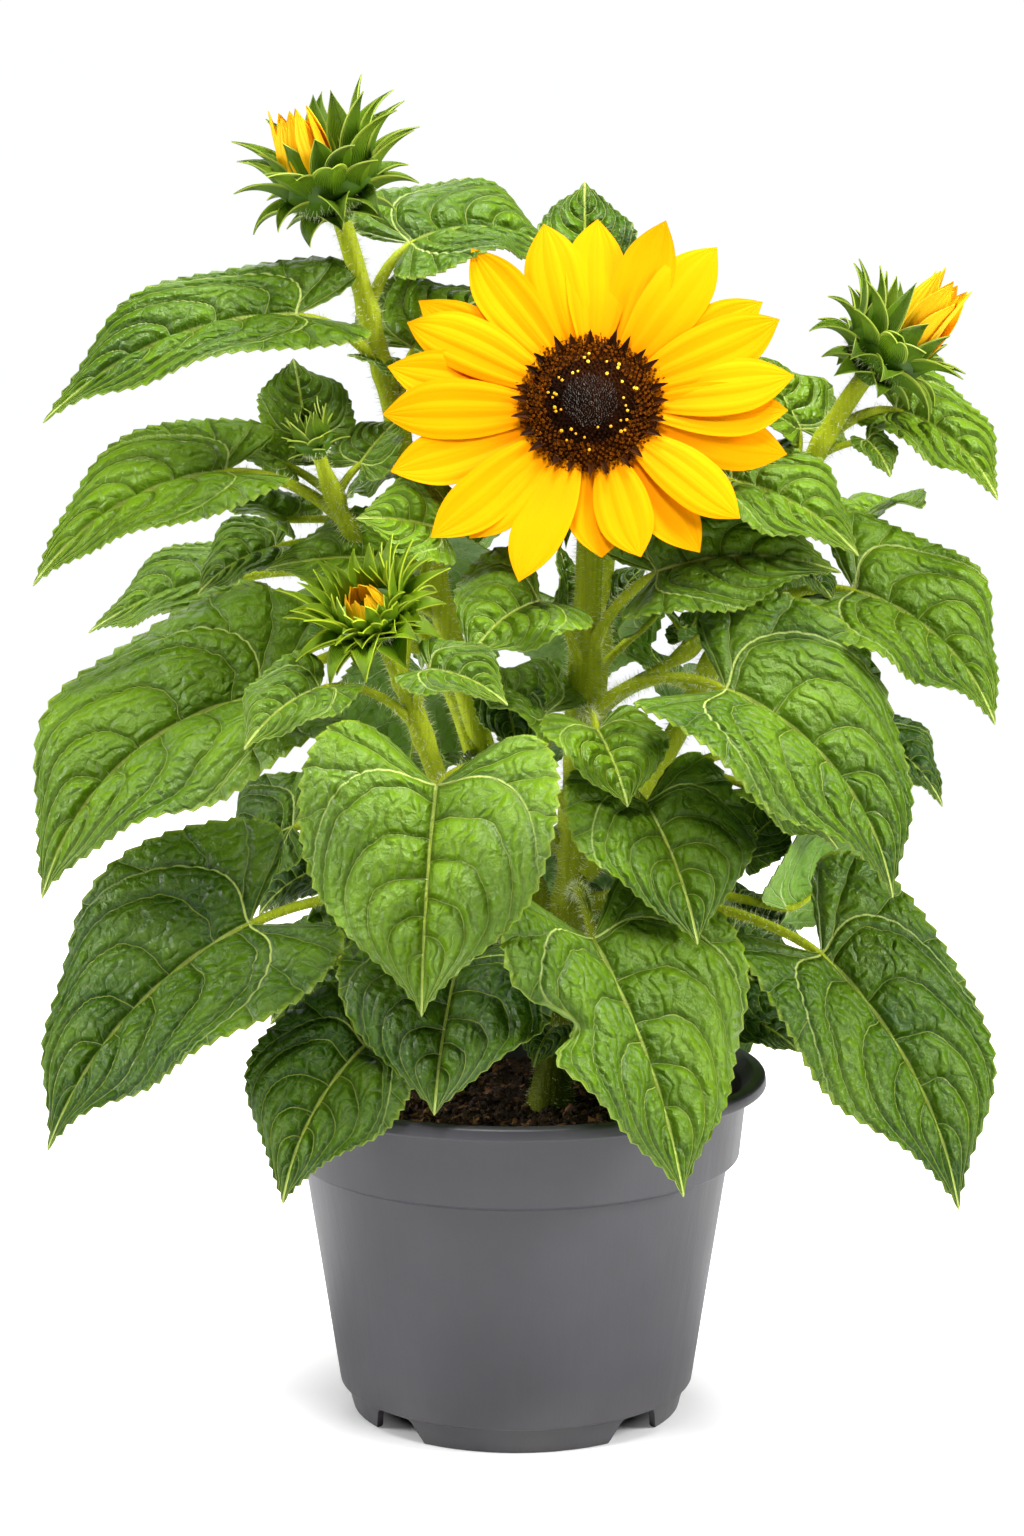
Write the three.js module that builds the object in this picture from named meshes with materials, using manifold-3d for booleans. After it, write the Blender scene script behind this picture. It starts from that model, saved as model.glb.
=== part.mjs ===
// Potted sunflower with one open flower head, four buds and broad heart-shaped leaves.
// Millimetres, +Z up, origin at the centre of the pot's underside, the open flower facing -Y.

import * as THREE from 'three';
import { mergeVertices } from 'three/addons/utils/BufferGeometryUtils.js';
import Module from 'manifold-3d';

const wasm = await Module();
wasm.setup();

const clearance = 0.3; // gap between pieces that touch

const pot = {
  height: 130.7, rimRadius: 95.2, rimDrop: 5, lipWidth: 5,
  collarTopRadius: 87.9, collarFootRadius: 85, collarFoot: 98.4,
  bodyTopRadius: 81, bodyFootRadius: 67.5,
  ringTopRadius: 65.2, ringFootRadius: 62.5, ringHeight: 9.6, ringWall: 3,
  wall: 2.2, floor: 2.5, sides: 32,
  footGaps: 4, footGapWidth: 27, footGapLean: 5,
};
const soil = { top: 118.2, crown: 1.5, crownRadius: 22 };

// Each limb: what it grows from, the radius at its foot and tip, and four points that shape its curve.
const limbs = {
  main_stem: {
    foot: 6.2, tip: 4.4, flare: 2,
    route: [[13, -4, 118.5], [24, 4, 200], [30, 26, 366], [28, -4, 377]],
  },
  left_branch: {
    from: 'main_stem', foot: 4.8, tip: 3.5,
    route: [[22, 4, 168], [-20, 22, 240], [-44, 16, 384], [-64, 0, 449]],
  },
  right_branch: {
    from: 'main_stem', foot: 4.6, tip: 3.4,
    route: [[25, 3, 205], [66, 8, 250], [98, 6, 350], [128, 0, 391]],
  },
  front_branch: {
    from: 'main_stem', foot: 4.4, tip: 3.3,
    route: [[17, -2, 150], [-22, -14, 205], [-34, -26, 270], [-48, -42, 299]],
  },
  rear_branch: {
    from: 'main_stem', foot: 4.4, tip: 2.6,
    route: [[26, 7, 230], [32, 38, 275], [38, 54, 330], [34, 60, 392]],
  },
  small_branch: {
    from: 'left_branch', foot: 3.2, tip: 2.4,
    route: [[-38, 12, 305], [-58, -4, 322], [-66, -12, 345], [-72, -20, 364]],
  },
};

// Side shoots too slight to stand alone: each is one piece with the leaves that it carries.
const shoots = {
  tip_shoot: {
    from: 'main_stem', foot: 2.6, tip: 1.6,
    route: [[30, 9, 268], [45, 12, 278], [60, 8, 284], [71, 2, 296]],
  },
  low_right_shoot: {
    from: 'main_stem', foot: 3, tip: 1.8,
    route: [[17, -1, 150], [40, 4, 170], [60, 8, 179], [80, 8, 181]],
  },
  low_left_shoot: {
    from: 'main_stem', foot: 3, tip: 1.8,
    route: [[15, -3, 138], [-8, 14, 152], [-34, 20, 166], [-56, 14, 170]],
  },
  low_rear_shoot: {
    from: 'main_stem', foot: 3, tip: 1.8,
    route: [[16, -3, 143], [18, 22, 160], [12, 38, 180], [0, 46, 204]],
  },
  left_rear_shoot: {
    from: 'left_branch', foot: 2.8, tip: 1.8,
    route: [[-17, 11, 250], [-24, 32, 272], [-38, 44, 296], [-48, 48, 318]],
  },
};

// Leaves by limb. Stalk: height on the limb, heading, pitch at its foot and its end, length.
// Blade: heading, pitch at its base and its tip, length, width, roll that lifts its left edge.
const leaves = {
  left_branch: [
    [[416, 45, 75, 25, 34], [25, 25, -35, 68, 56, 34]],
    [[394, -145, 55, 5, 44], [-170, 0, -45, 104, 50, -36]],
    [[372, 50, 95, 55, 32], [40, 40, 10, 48, 52, 36]],
    [[330, -165, 25, -5, 54], [165, 30, 10, 34, 34, -20]],
    [[318, 180, 35, -15, 62], [-165, -10, -50, 36, 36, -25]],
    [[300, 165, 35, -15, 86], [165, -5, -35, 68, 44, -35]],
    [[285, -145, 25, -35, 90], [-160, -5, -75, 116, 86, -42]],
  ],
  small_branch: [
    [[338, -175, 50, 0, 50], [-170, -5, -55, 86, 44, -40]],
    [[349, 140, 30, 20, 26], [170, 30, -5, 34, 26, -25]],
    [[354, 110, 40, 20, 34], [110, 70, 50, 32, 38, 5]],
    [[348, 10, 70, 40, 16], [50, 45, 25, 28, 28, 15]],
    [[318, -70, 50, 10, 16], [175, 5, -15, 48, 38, -50]],
  ],
  front_branch: [
    [[270, -80, 55, 10, 40], [-25, 0, -40, 34, 32, 25]],
    [[262, -140, 55, -5, 54], [-140, -10, -50, 40, 34, -25]],
    [[283, 35, 85, 60, 58], [-172, 20, -5, 32, 36, -54]],
    [[188, -155, 30, -20, 104], [-170, -25, -70, 114, 84, -42]],
  ],
  rear_branch: [
    [[380, -155, 90, 70, 52], [90, 75, 55, 38, 40, 0]],
    [[360, 55, 50, 10, 26], [70, -10, -60, 62, 58, 0]],
    [[325, 140, 50, 10, 36], [130, -10, -60, 80, 70, 0]],
    [[290, 100, 45, 0, 24], [95, -20, -65, 70, 66, 0]],
    [[262, 45, 35, -10, 50], [45, -20, -70, 84, 76, 0]],
  ],
  main_stem: [
    [[340, -25, 40, -10, 60], [-10, -10, -50, 56, 44, 42]],
    [[285, -45, 65, 25, 52], [0, 20, -20, 70, 52, 46]],
    [[278, -115, 65, 15, 54], [-140, -5, -55, 40, 50, -30]],
    [[274, 18, 55, 35, 32], [18, 50, 20, 38, 38, -20]],
    [[262, -45, 45, -15, 78], [-15, -20, -80, 102, 84, 40]],
    [[262, -85, 30, -20, 54], [-65, -30, -60, 36, 46, 5]],
    [[248, -120, 50, 30, 32], [165, 35, 15, 36, 46, -20]],
    [[230, -65, 40, -20, 60], [-60, -35, -70, 60, 68, 10]],
    [[225, -120, 45, -15, 110], [-100, -55, -85, 84, 92, 0]],
    [[215, -175, 30, -20, 110], [150, -20, -60, 50, 54, -42]],
    [[195, -85, 30, -30, 78], [-50, -45, -75, 100, 96, 8]],
    [[194, 10, 12, -20, 86], [30, 30, 10, 50, 56, -62]],
    [[190, -20, 20, -30, 102], [-20, -40, -80, 110, 80, 42]],
    [[172, -120, 40, -20, 84], [-105, -40, -75, 60, 78, -5]],
    [[138, -137, 35, -15, 100], [-148, -35, -80, 66, 60, -30]],
  ],
  right_branch: [
    [[368, 30, 45, -5, 36], [-20, -15, -65, 54, 40, 40]],
    [[348, 70, 80, 60, 26], [130, 55, 35, 40, 42, 0]],
    [[325, 35, 30, 0, 46], [50, 20, 0, 36, 50, 0]],
    [[299, -14, 44, -8, 50], [-13, -15, -70, 76, 64, 40]],
    [[285, 15, 45, 5, 30], [10, 0, -35, 36, 42, 36]],
    [[240, 15, 20, -30, 42], [-5, -15, -55, 42, 40, 25]],
  ],
  tip_shoot: [
    [[288, 60, 60, 50, 8], [60, 50, 20, 18, 16, 0]],
    [[290, -60, 60, 40, 8], [-60, 40, 10, 16, 14, 0]],
    [[292, 170, 60, 50, 8], [170, 50, 30, 16, 14, 0]],
  ],
  low_right_shoot: [
    [[179, -20, 10, -10, 16], [5, 0, -30, 24, 32, 20]],
    [[180, 25, -30, -60, 20], [-20, -30, -60, 36, 38, 35]],
    [[170, -5, -5, -45, 44], [-15, -15, -45, 28, 30, 30]],
  ],
  low_left_shoot: [
    [[169, -160, 10, -10, 18], [-150, -20, -50, 34, 36, -40]],
    [[169, 140, 10, -20, 24], [165, -30, -60, 40, 46, -40]],
    [[160, -110, 10, -30, 16], [-120, -40, -70, 30, 34, -30]],
  ],
  low_rear_shoot: [
    [[190, 150, 20, -15, 44], [150, -35, -80, 92, 80, 0]],
    [[202, 85, 25, -25, 26], [90, -45, -85, 88, 78, 0]],
    [[178, 30, 25, -20, 52], [40, -35, -80, 90, 80, 0]],
  ],
  left_rear_shoot: [
    [[296, 150, 30, -20, 34], [150, -25, -70, 72, 62, 0]],
    [[312, 80, 45, 0, 18], [85, -15, -75, 72, 60, 0]],
    [[276, 105, 25, -30, 30], [105, -40, -85, 78, 66, 0]],
  ],
};

// The open head: its rays as direction, anticlockwise from the right as seen from the front, and reach.
const head = {
  depth: 16, discRadius: 29, dome: 6, rayHalfAngle: 12.5, rayShoulder: 0.33, sides: 72,
  rays: [
    [8, 74], [25, 75], [32, 74], [52, 75], [68, 74], [88, 72], [106, 72], [127, 74], [147, 75], [154, 75],
    [169, 75], [184, 75], [201, 76], [223, 76], [229, 66], [251, 72], [274, 57], [288, 61], [305, 68],
    [322, 70], [346, 73], [358, 71],
  ],
};

// Buds: the limb that carries each, and the radius, depth and bract reach of its cup.
const buds = {
  left_bud: { on: 'left_branch', radius: 24, depth: 34, reach: 39 },
  right_bud: { on: 'right_branch', radius: 20, depth: 30, reach: 34 },
  front_bud: { on: 'front_branch', radius: 17, depth: 20, reach: 27 },
  small_bud: { on: 'small_branch', radius: 9, depth: 13, reach: 14 },
};

const radians = THREE.MathUtils.degToRad;
const { lerp } = THREE.MathUtils;
const towards = (heading, pitch) => new THREE.Vector3(
  Math.cos(radians(pitch)) * Math.cos(radians(heading)),
  Math.cos(radians(pitch)) * Math.sin(radians(heading)),
  Math.sin(radians(pitch)),
);

// Solids -----------------------------------------------------------------------------------------

// A closed skin over a run of rings with equally many points. The last may be a single point.
function skin(rings) {
  const count = rings[0].length;
  const places = rings.flat().flatMap((point) => [point.x, point.y, point.z]);
  const faces = [];
  const tipped = rings.at(-1).length === 1;
  const bands = rings.length - (tipped ? 2 : 1);
  const last = bands * count;
  for (let band = 0; band < bands; band += 1) {
    for (let side = 0; side < count; side += 1) {
      const a = band * count + side;
      const b = band * count + (side + 1) % count;
      faces.push(a, b, a + count, b, b + count, a + count);
    }
  }
  for (let side = 0; side < count; side += 1) {
    if (tipped) faces.push(last + side, last + (side + 1) % count, last + count);
    if (side === 0 || side === count - 1) continue;
    faces.push(0, side + 1, side);
    if (!tipped) faces.push(last, last + side, last + side + 1);
  }
  const shape = new THREE.BufferGeometry();
  shape.setAttribute('position', new THREE.Float32BufferAttribute(places, 3));
  shape.setIndex(faces);
  return asSolid(shape);
}

function asSolid(shape) {
  const bare = shape.clone();
  bare.deleteAttribute('normal');
  bare.deleteAttribute('uv');
  const merged = mergeVertices(bare);
  const vertProperties = new Float32Array(merged.attributes.position.array);
  const triVerts = new Uint32Array(merged.index.array);
  return new wasm.Manifold(new wasm.Mesh({ numProp: 3, vertProperties, triVerts }));
}

function asGeometry(solid) {
  const { vertProperties, triVerts } = solid.getMesh();
  const shape = new THREE.BufferGeometry();
  shape.setAttribute('position', new THREE.BufferAttribute(vertProperties, 3));
  shape.setIndex(new THREE.BufferAttribute(triVerts, 1));
  shape.computeVertexNormals();
  return shape;
}

function lathe(outline, sides) {
  const points = outline.map(([radius, height]) => new THREE.Vector2(radius, height));
  return asSolid(new THREE.LatheGeometry(points, sides).rotateX(Math.PI / 2));
}

// Pot and root ball ------------------------------------------------------------------------------

const innerRadiusAt = (height) => THREE.MathUtils.mapLinear(
  height, pot.ringHeight, pot.collarFoot, pot.bodyFootRadius, pot.bodyTopRadius,
) - pot.wall;

function potSolid() {
  const { height, rimRadius, rimDrop, wall, ringHeight, ringWall } = pot;
  const floorTop = ringHeight + pot.floor;
  const body = lathe([
    [0, ringHeight],
    [pot.ringTopRadius - ringWall, ringHeight],
    [pot.ringFootRadius - ringWall, 0],
    [pot.ringFootRadius, 0],
    [pot.ringTopRadius, ringHeight],
    [pot.bodyFootRadius, ringHeight + 1],
    [pot.bodyTopRadius, pot.collarFoot],
    [pot.collarFootRadius, pot.collarFoot],
    [pot.collarTopRadius, height - rimDrop],
    [rimRadius, height - rimDrop],
    [rimRadius - 0.6, height],
    [rimRadius - pot.lipWidth, height],
    [pot.collarTopRadius - wall, height - rimDrop],
    [pot.collarFootRadius - wall, pot.collarFoot],
    [innerRadiusAt(pot.collarFoot), pot.collarFoot - 3],
    [innerRadiusAt(floorTop), floorTop],
    [0, floorTop],
  ], pot.sides);
  const gaps = Array.from({ length: pot.footGaps }, (_, gap) => footGap(45 + gap * 90));
  return wasm.Manifold.difference([body, ...gaps]);
}

function footGap(direction) {
  const half = pot.footGapWidth / 2;
  const top = pot.ringHeight - 0.4;
  const mouth = new THREE.Shape([
    new THREE.Vector2(-half, -1),
    new THREE.Vector2(half, -1),
    new THREE.Vector2(half - pot.footGapLean, top),
    new THREE.Vector2(-half + pot.footGapLean, top),
  ]);
  const block = new THREE.ExtrudeGeometry(mouth, { depth: 30, bevelEnabled: false });
  block.rotateX(Math.PI / 2).translate(0, -45, 0).rotateZ(radians(direction + 90));
  return asSolid(block);
}

function rootBallSolid() {
  const bottom = pot.ringHeight + pot.floor + clearance;
  const shoulder = pot.collarFoot - 3;
  return lathe([
    [0, bottom],
    [innerRadiusAt(bottom) - clearance, bottom],
    [innerRadiusAt(shoulder) - clearance, shoulder],
    [pot.collarFootRadius - pot.wall - 3 * clearance, pot.collarFoot + clearance],
    [pot.collarFootRadius - pot.wall + clearance, soil.top - soil.crown],
    [soil.crownRadius, soil.top],
    [0, soil.top],
  ], pot.sides);
}

// Limbs ------------------------------------------------------------------------------------------

const limbDetail = { sides: 8, steps: 8 };
const shootDetail = { sides: 6, steps: 5 };
const allLimbs = { ...limbs, ...shoots };
const curves = Object.fromEntries(Object.entries(allLimbs).map(([name, limb]) => [
  name, new THREE.CubicBezierCurve3(...limb.route.map((place) => new THREE.Vector3(...place))),
]));

// The share of the way along a limb at which it reaches a height.
function shareAt(curve, height) {
  let low = 0;
  let high = 1;
  for (let halving = 0; halving < 30; halving += 1) {
    const middle = (low + high) / 2;
    if (curve.getPoint(middle).z < height) low = middle;
    else high = middle;
  }
  return low;
}

// Points round a centre, at radii and distances forward that repeat in turn.
function ringAround(centre, along, count, radii, forward = [0]) {
  const side = new THREE.Vector3(0, 1, 0).cross(along).normalize();
  const across = along.clone().cross(side);
  return Array.from({ length: count }, (_, index) => {
    const angle = 2 * Math.PI * index / count;
    return centre.clone()
      .addScaledVector(side, radii[index % radii.length] * Math.cos(angle))
      .addScaledVector(across, radii[index % radii.length] * Math.sin(angle))
      .addScaledVector(along, forward[index % forward.length]);
  });
}

function limbSolid(name, extra = 0) {
  const { foot, tip, from, flare = 0 } = allLimbs[name];
  const { sides, steps } = name in shoots ? shootDetail : limbDetail;
  const rings = [];
  for (let step = 0; step <= steps; step += 1) {
    const share = step / steps;
    const along = from || step ? curves[name].getTangent(share) : new THREE.Vector3(0, 0, 1);
    const radius = lerp(foot, tip, share) + flare * Math.exp(-12 * share) + extra;
    rings.push(ringAround(curves[name].getPoint(share), along, sides, [radius]));
  }
  return skin(rings);
}

// Leaves -----------------------------------------------------------------------------------------

const blade = {
  thickness: 1.6, fold: 20, stalkRadius: 2,
  shares: [0.05, 0.17, 0.34, 0.53, 0.73, 0.9],
};
// How far forward along the blade its edge lies, and how wide it is, at a share of its length.
const edgeForward = (share) => share - 1.3 * Math.sin(Math.PI * share) * (1 - share) ** 4;
const edgeOut = (share) => share ** 0.6 * (1 - share) ** 1.2 / 0.318;

// Where a stalk or blade is at a distance along it, with the directions along it, to its left and up.
function midrib(part, distance) {
  const steps = 12;
  const pitchAt = (reached) => lerp(part.pitch, part.endPitch, reached / part.length);
  const place = part.start.clone();
  for (let step = 0; step < steps; step += 1) {
    const pitch = pitchAt(distance * (step + 0.5) / steps);
    place.addScaledVector(towards(part.heading, pitch), distance / steps);
  }
  const along = towards(part.heading, pitchAt(distance));
  const left = towards(part.heading + 90, 0).applyAxisAngle(along, radians(part.roll));
  return { place, along, left, up: along.clone().cross(left) };
}

function section({ place, along, left, up }, forward, out, thickness) {
  const lift = Math.tan(radians(blade.fold)) * (out - blade.stalkRadius);
  const edge = (side) => place.clone()
    .addScaledVector(along, forward)
    .addScaledVector(left, side * out)
    .addScaledVector(up, lift);
  const face = (side) => place.clone().addScaledVector(up, side * thickness / 2);
  return [edge(1), face(1), edge(-1), face(-1)];
}

function leafSolid(limb, [stalkRow, bladeRow]) {
  const [height, stalkHeading, rise, level, stalkLength] = stalkRow;
  const [heading, pitch, endPitch, length, width, roll] = bladeRow;
  const start = curves[limb].getPoint(shareAt(curves[limb], height));
  const stalk = { start, heading: stalkHeading, pitch: rise, endPitch: level, length: stalkLength, roll: 0 };
  const base = midrib(stalk, stalkLength).place;
  const leaf = { start: base, heading, pitch, endPitch, length, roll };
  const rings = [0, 0.5, 0.9].map((share) => (
    section(midrib(stalk, stalkLength * share), 0, blade.stalkRadius, 2 * blade.stalkRadius)
  ));
  for (const share of blade.shares) {
    const forward = length * (edgeForward(share) - share);
    rings.push(section(midrib(leaf, length * share), forward, width / 2 * edgeOut(share), blade.thickness));
  }
  rings.push([midrib(leaf, length).place]);
  return skin(rings);
}

// Flower heads -----------------------------------------------------------------------------------

const tipOf = (limb) => ({ centre: curves[limb].getPoint(1), along: curves[limb].getTangent(1) });

// One skin from the back of the disc, out to the tips of the rays and over the dome in front.
function headSolid() {
  const { depth, discRadius, dome, rays, rayHalfAngle, rayShoulder, sides } = head;
  const { centre, along } = tipOf('main_stem');
  const upward = new THREE.Vector3(0, 0, 1).projectOnPlane(along).normalize();
  const right = along.clone().negate().cross(upward);
  const ringOf = (forward, radiusAt) => Array.from({ length: sides }, (_, side) => {
    const direction = 360 * side / sides;
    return centre.clone()
      .addScaledVector(along, forward)
      .addScaledVector(right, radiusAt(direction) * Math.cos(radians(direction)))
      .addScaledVector(upward, radiusAt(direction) * Math.sin(radians(direction)));
  });
  const reachAt = (direction) => Math.max(...rays.map(([ray, reach]) => {
    const off = Math.abs((direction - ray + 540) % 360 - 180) / rayHalfAngle;
    return off > 1 ? discRadius * 1.3 : reach * (1 - rayShoulder * off ** 1.4);
  }));
  return skin([
    ringOf(clearance, () => 4),
    ringOf(depth * 0.6, () => discRadius * 0.85),
    ringOf(depth, reachAt),
    ringOf(depth + 2, () => discRadius),
    ringOf(depth + dome * 0.8, () => discRadius * 0.7),
    [centre.clone().addScaledVector(along, depth + dome)],
  ]);
}

function budSolid({ on, radius, depth, reach }) {
  const { centre, along } = tipOf(on);
  const place = (share) => centre.clone().addScaledVector(along, share * depth + clearance);
  const points = 14;
  return skin([
    ringAround(place(0), along, points, [allLimbs[on].tip]),
    ringAround(place(0.15), along, points, [radius * 0.8, reach * 0.95], [0, -0.1 * depth]),
    ringAround(place(0.4), along, points, [radius * 0.95, radius]),
    ringAround(place(0.7), along, points, [reach * 0.85, radius * 0.9], [0.15 * depth, 0]),
    ringAround(place(0.9), along, points, [radius * 0.7]),
    ringAround(place(1.1), along, points, [radius * 0.35]),
    [place(1.2)],
  ]);
}

// Assembly ---------------------------------------------------------------------------------------

const finish = (color, roughness) => new THREE.MeshStandardMaterial({ color, roughness, metalness: 0 });
const materials = {
  pot: finish(0x63646a, 0.45),
  soil: finish(0x2b1d14, 1),
  limb: finish(0x7a9a3c, 0.7),
  leaf: finish(0x3f7a2c, 0.55),
  ray: finish(0xf7c80c, 0.6),
  bract: finish(0x4d8030, 0.65),
};

const plant = new THREE.Group();
function add(name, solid, material) {
  const mesh = new THREE.Mesh(asGeometry(solid), material);
  mesh.name = name;
  plant.add(mesh);
}

add('pot', potSolid(), materials.pot);
add('root_ball', rootBallSolid(), materials.soil);

for (const [name, { from }] of Object.entries(allLimbs)) {
  const grown = leaves[name].map((row) => leafSolid(name, row));
  let limb = limbSolid(name);
  if (name in shoots) limb = wasm.Manifold.union([limb, ...grown]);
  if (from) limb = limb.subtract(limbSolid(from, clearance));
  add(name, limb, materials.limb.clone());
  if (name in shoots) continue;
  const around = limbSolid(name, clearance);
  for (const [index, leaf] of grown.entries()) {
    add(`${name}_leaf_${index + 1}`, leaf.subtract(around), materials.leaf.clone());
  }
}

add('flower_head', headSolid(), materials.ray);
for (const [name, bud] of Object.entries(buds)) add(name, budSolid(bud), materials.bract.clone());

export default plant;
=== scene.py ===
# A potted sunflower: one open head, four buds and broad toothed leaves in a grey nursery pot.
import math
from contextlib import contextmanager

import bmesh
import bpy
import numpy as np
from mathutils import Matrix, Vector


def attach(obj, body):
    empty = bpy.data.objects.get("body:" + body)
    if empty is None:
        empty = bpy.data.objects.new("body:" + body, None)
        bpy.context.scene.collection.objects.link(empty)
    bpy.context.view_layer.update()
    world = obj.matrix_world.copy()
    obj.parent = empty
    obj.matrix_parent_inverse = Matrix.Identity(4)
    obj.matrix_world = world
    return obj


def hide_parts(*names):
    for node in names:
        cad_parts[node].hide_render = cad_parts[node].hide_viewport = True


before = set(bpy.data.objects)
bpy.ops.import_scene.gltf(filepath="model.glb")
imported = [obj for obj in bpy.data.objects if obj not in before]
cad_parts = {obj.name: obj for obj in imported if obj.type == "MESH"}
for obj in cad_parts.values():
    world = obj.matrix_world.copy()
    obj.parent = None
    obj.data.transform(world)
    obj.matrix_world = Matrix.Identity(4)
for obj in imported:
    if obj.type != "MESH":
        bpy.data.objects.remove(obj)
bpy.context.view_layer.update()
mm = 0.001

# ---- node helpers


class Signal:
    # A value in a node tree. Arithmetic on it makes Math nodes.
    def __init__(self, socket):
        self.socket = socket
        self.tree = socket.id_data

    def __add__(self, other):
        return calc("ADD", self, other)

    def __sub__(self, other):
        return calc("SUBTRACT", self, other)

    def __rsub__(self, other):
        return calc("SUBTRACT", other, self)

    def __mul__(self, other):
        return calc("MULTIPLY", self, other)

    def __truediv__(self, other):
        return calc("DIVIDE", self, other)

    def __abs__(self):
        return calc("ABSOLUTE", self)


def feed(socket, value):
    # Links the value, or sets it as a constant.
    if isinstance(value, Signal):
        socket.id_data.links.new(value.socket, socket)
    elif isinstance(value, tuple) and socket.type == "RGBA":
        socket.default_value = (*value, 1)
    else:
        socket.default_value = value


def grow(tree, kind, settings=None, **inputs):
    # A new node. In an input's name _ stands for a space, and n3 is input number 3.
    node = tree.nodes.new(kind)
    for title, value in (settings or {}).items():
        setattr(node, title, value)
    for title, value in inputs.items():
        feed(node.inputs[int(title[1:]) if title[1:].isdigit() else title.replace("_", " ")], value)
    return node


def take(tree, kind, which=0, settings=None, **inputs):
    # One output of a new node.
    return Signal(grow(tree, kind, settings, **inputs).outputs[which])


def calc(operation, *values, clamp=False):
    tree = next(value.tree for value in values if isinstance(value, Signal))
    inputs = {f"n{index}": value for index, value in enumerate(values)}
    return take(tree, "ShaderNodeMath", 0, {"operation": operation, "use_clamp": clamp}, **inputs)


def spread(value, low, high, toLow=0.0, toHigh=1.0):
    # Eases from toLow to toHigh while the value goes from low to high.
    return take(value.tree, "ShaderNodeMapRange", "Result", {"interpolation_type": "SMOOTHSTEP"},
                Value=value, From_Min=low, From_Max=high, To_Min=toLow, To_Max=toHigh)


def mix(share, first, second):
    return take(share.tree, "ShaderNodeMix", 2, {"data_type": "RGBA"}, n0=share, n6=first, n7=second)


def noise(where, scale, detail, roughness=0.5):
    return take(where.tree, "ShaderNodeTexNoise", "Fac", Vector=where, Scale=scale, Detail=detail,
                Roughness=roughness)


def objectPlace(tree):
    return take(tree, "ShaderNodeTexCoord", "Object")


def bladePlace(tree):
    return take(tree, "ShaderNodeUVMap", "UV", {"uv_map": "plane"})


def stretched(where, share):
    # Draws a pattern out upwards.
    return take(where.tree, "ShaderNodeMapping", Vector=where, Scale=(1, 1, share))


def xyz(where):
    return [Signal(part) for part in grow(where.tree, "ShaderNodeSeparateXYZ", n0=where).outputs]


def attribute(tree, name):
    return take(tree, "ShaderNodeAttribute", "Fac", {"attribute_name": name})


def newGroup(name, kind, inputs, outputs):
    # A node group. Its inputs are (title, kind of socket, value) and its outputs (title, kind of socket).
    tree = bpy.data.node_groups.new(name, f"{kind}NodeTree")
    for title, sort, value in inputs:
        socket = tree.interface.new_socket(name=title, in_out="INPUT", socket_type=f"NodeSocket{sort}")
        if value is not None:
            socket.default_value = value
    for title, sort in outputs:
        tree.interface.new_socket(name=title, in_out="OUTPUT", socket_type=f"NodeSocket{sort}")
    start = {socket.name: Signal(socket) for socket in tree.nodes.new("NodeGroupInput").outputs}
    return tree, start, tree.nodes.new("NodeGroupOutput").inputs


def place(tree, group, **inputs):
    # The group's outputs, in their order.
    node = grow(tree, "ShaderNodeGroup", {"node_tree": group}, **inputs)
    return [Signal(output) for output in node.outputs]


def newMaterial(name, **sockets):
    material = bpy.data.materials.new(name)
    material.use_nodes = True
    shader = material.node_tree.nodes["Principled BSDF"]
    for title, value in sockets.items():
        feed(shader.inputs[title.replace("_", " ")], value)
    return material, material.node_tree, shader


def finish(shader, colour, roughness, height, relief, strength=1.0):
    # height is the pattern that stands out, and relief how many metres for 1.
    feed(shader.inputs["Base Color"], colour)
    feed(shader.inputs["Roughness"], roughness)
    feed(shader.inputs["Normal"], take(shader.id_data, "ShaderNodeBump", "Normal", Height=height,
                                       Distance=relief, Strength=strength))


# ---- camera, light and floor

view = {"distance": 1.296, "height": 0.4358, "aside": -0.0016, "pitch": 8.33, "lens": 81.66, "sensor": 36}


def addObject(name, data):
    item = bpy.data.objects.new(name, data)
    bpy.context.scene.collection.objects.link(item)
    return item


def makeCamera():
    data = bpy.data.cameras.new("camera")
    data.lens = view["lens"]
    data.sensor_width = view["sensor"]
    data.clip_end = 200
    camera = addObject("camera", data)
    camera.location = (view["aside"], -view["distance"], view["height"])
    camera.rotation_euler = (math.radians(90 - view["pitch"]), 0, 0)
    bpy.context.scene.camera = camera


studio = {
    # the surround looks whiter than it lights
    "world": (0.97, 0.98, 1.0), "worldStrength": 0.04, "seenStrength": 1.03,
    # the floor whitens from the first distance to the second, by these glows, and that lights nothing
    "floor": (0.8, 0.8, 0.8), "floorRadius": 1.5, "floorRoughness": 0.9,
    "floorGlow": (0.05, 0.118, 0.0, 0.92),
    # name: place, aim, side of the square panel, watts
    "panels": {
        "key": ((-0.25, -0.85, 1.7), (0, 0, 0.25), 0.4, 20),
        "left": ((-1.35, -0.1, 0.6), (0, 0, 0.1), 0.5, 17),
        "right": ((1.35, -0.4, 0.95), (0, 0, 0.17), 0.6, 30),
        "top": ((0.1, 0.1, 1.8), (0, 0, 0.25), 0.4, 33),
        "back": ((-0.5, 1.5, 1.2), (0, 0, 0.25), 1.0, 7),
    },
}


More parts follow.
